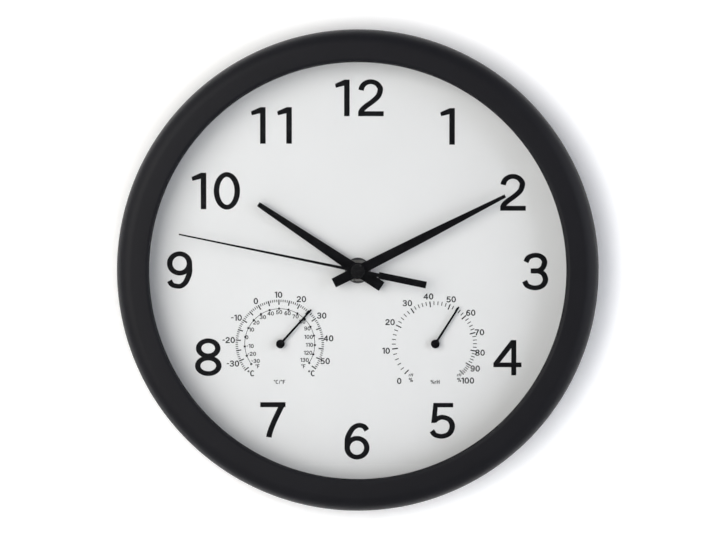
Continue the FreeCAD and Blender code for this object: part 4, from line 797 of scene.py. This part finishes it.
# The camera, in metres and degrees. It looks at the dial's face, and two small shifts of its aim
# centre the object as in the picture.
CAMERA_REACH = 1.1272
CAMERA_LEFT = 0.0
CAMERA_RISE = 2.0
CAMERA_LENS = 108.55
AIM_RIGHT = 0.00011
AIM_UP = 0.00022
LOOK_AT = Vector((AIM_RIGHT, -DIAL_FACE * MM, AXIS_HEIGHT + AIM_UP))


def direction(left, up):
    """A unit vector from the object towards a place in front of it, so many degrees left and up."""
    left, up = math.radians(left), math.radians(up)
    return Vector((-math.sin(left) * math.cos(up), -math.cos(left) * math.cos(up), math.sin(up)))


def stand(name, data, left, up, reach):
    """Stands a camera or a lamp at a reach from the object, turned to look at its middle."""
    made = bpy.data.objects.new(name, data)
    way = direction(left, up)
    made.location = LOOK_AT + way * reach
    made.rotation_euler = (-way).to_track_quat("-Z", "Y").to_euler()
    bpy.context.scene.collection.objects.link(made)
    return made


def build_camera():
    """The camera at the picture's angle."""
    data = bpy.data.cameras.new("camera")
    data.lens = CAMERA_LENS
    bpy.context.scene.camera = stand("camera", data, CAMERA_LEFT, CAMERA_RISE, CAMERA_REACH)


def area_lamp(name, left, up, reach, watts, size=1.2, tint=(1, 1, 1)):
    """A square soft lamp."""
    data = bpy.data.lights.new(name, "AREA")
    data.shape = "SQUARE"
    data.size = size
    data.energy = watts
    data.color = tint
    stand(name, data, left, up, reach)


def build_lamps():
    """A warm key lamp on the left, a weak cool fill on the right, and a lamp for the views from
    behind."""
    area_lamp("key lamp", left=34, up=10, reach=1.3, watts=13.0, tint=(1.0, 0.985, 0.95))
    area_lamp("fill lamp", left=-62, up=6, reach=1.4, watts=9, tint=(0.92, 0.94, 1.0))
    area_lamp("back lamp", left=158, up=24, reach=1.5, watts=22)


# The surround's strength and tint. In front of the object it falls to the dark strength between
# the two angles, in degrees from straight ahead.
SURROUND = 0.19
SURROUND_TINT = (0.88, 0.91, 1.0)
FRONT_DARK = 0.008
DARK_EDGE = 50
DARK_CORE = 24


def build_world():
    """A pale surround that is dark only in front of the object, where a camera would stand. Seen
    directly it is white all round."""
    world = bpy.data.worlds.new("surround")
    bpy.context.scene.world = world
    world.use_nodes = True
    background = world.node_tree.nodes["Background"]
    join = world.node_tree.links.new
    way = add_node(world, "TexCoord").outputs["Generated"]
    ahead = add_node(world, "VectorMath", {0: way, 1: (0, -1, 0)}, operation="DOT_PRODUCT").outputs["Value"]
    edge = math.cos(math.radians(DARK_EDGE))
    core = math.cos(math.radians(DARK_CORE))
    level = ramp(world, ahead, edge, core, SURROUND, FRONT_DARK, interpolation_type="SMOOTHSTEP")
    seen = add_node(world, "LightPath").outputs["Is Camera Ray"]
    join(ramp(world, seen, 0.0, 1.0, level, 1.0), background.inputs["Strength"])
    join(tinted(world, seen, SURROUND_TINT, (1, 1, 1)), background.inputs["Color"])


# The stage, in metres: how far the wall and the floor go to each side, up, out and down, how white
# each coat of their paint is, and how near to a thing their painted contact shade reaches.
STAGE_HALF = 1.5
STAGE_TOP = 1.5
STAGE_REACH = 2.5
FLOOR_DROP = 0.5
FIRST_COAT = 0.98
WALL_SECOND_COAT = 0.75
FLOOR_SECOND_COAT = 0.0
PAINTED_SHADE_REACH = 0.02


def stage_sheet(name, corners, material):
    """A flat sheet of the stage."""
    mesh = bpy.data.meshes.new(name)
    mesh.from_pydata(corners, [], [(0, 1, 2, 3)])
    mesh.materials.append(material)
    sheet = bpy.data.objects.new(name, mesh)
    bpy.context.scene.collection.objects.link(sheet)
    return sheet


def stage_paint(name, second_coat):
    """White paint that keeps the object's shadow and can't be seen from behind. A second coat adds
    its share, and both coats carry painted shade: ambient occlusion darkens their colour where something
    stands close to them."""
    material = new_material(name)
    material.node_tree.nodes.remove(shader_of(material))
    coats = []
    for white in (FIRST_COAT, second_coat):
        inputs = {"Color": (white, white, white, 1), "Distance": PAINTED_SHADE_REACH}
        # Painted shade: ambient occlusion darkens this coat's colour near the object.
        painted_contact_shade = add_node(material, "AmbientOcclusion", inputs).outputs["Color"]
        coats.append(add_node(material, "BsdfDiffuse", {"Color": painted_contact_shade}).outputs["BSDF"])
    paint = add_node(material, "AddShader", {0: coats[0], 1: coats[1]}).outputs["Shader"]
    back = add_node(material, "NewGeometry").outputs["Backfacing"]
    clear_by(material, back, paint)
    return material


def build_stage():
    """The wall that the object hangs on and a floor well below it."""
    left, right, low = -STAGE_HALF, STAGE_HALF, -FLOOR_DROP
    upright = [(left, 0, low), (right, 0, low), (right, 0, STAGE_TOP), (left, 0, STAGE_TOP)]
    wall = stage_sheet("wall", upright, stage_paint("wall paint", WALL_SECOND_COAT))
    wall.visible_shadow = False
    wall.visible_diffuse = False
    wall.visible_transmission = False
    front, back = -STAGE_REACH, STAGE_REACH
    level = [(left, front, low), (right, front, low), (right, back, low), (left, back, low)]
    floor = stage_sheet("floor", level, stage_paint("floor paint", FLOOR_SECOND_COAT))
    floor.visible_glossy = False


bpy.context.scene.view_settings.view_transform = "Standard"
finishes = build_finishes()
dress_nodes(finishes)
black_print = ink("black dial print", (0.005, 0.005, 0.0065))
small_print = ink("dark grey scale print", (0.012, 0.012, 0.014))
build_frame_ring(finishes["frame_black"])
build_hours(black_print)
build_hands(finishes["hand_black"])
build_thermometer_scale(small_print)
build_hygrometer_scale(small_print)
build_camera()
build_world()
build_lamps()
build_stage()
bpy.context.view_layer.update()
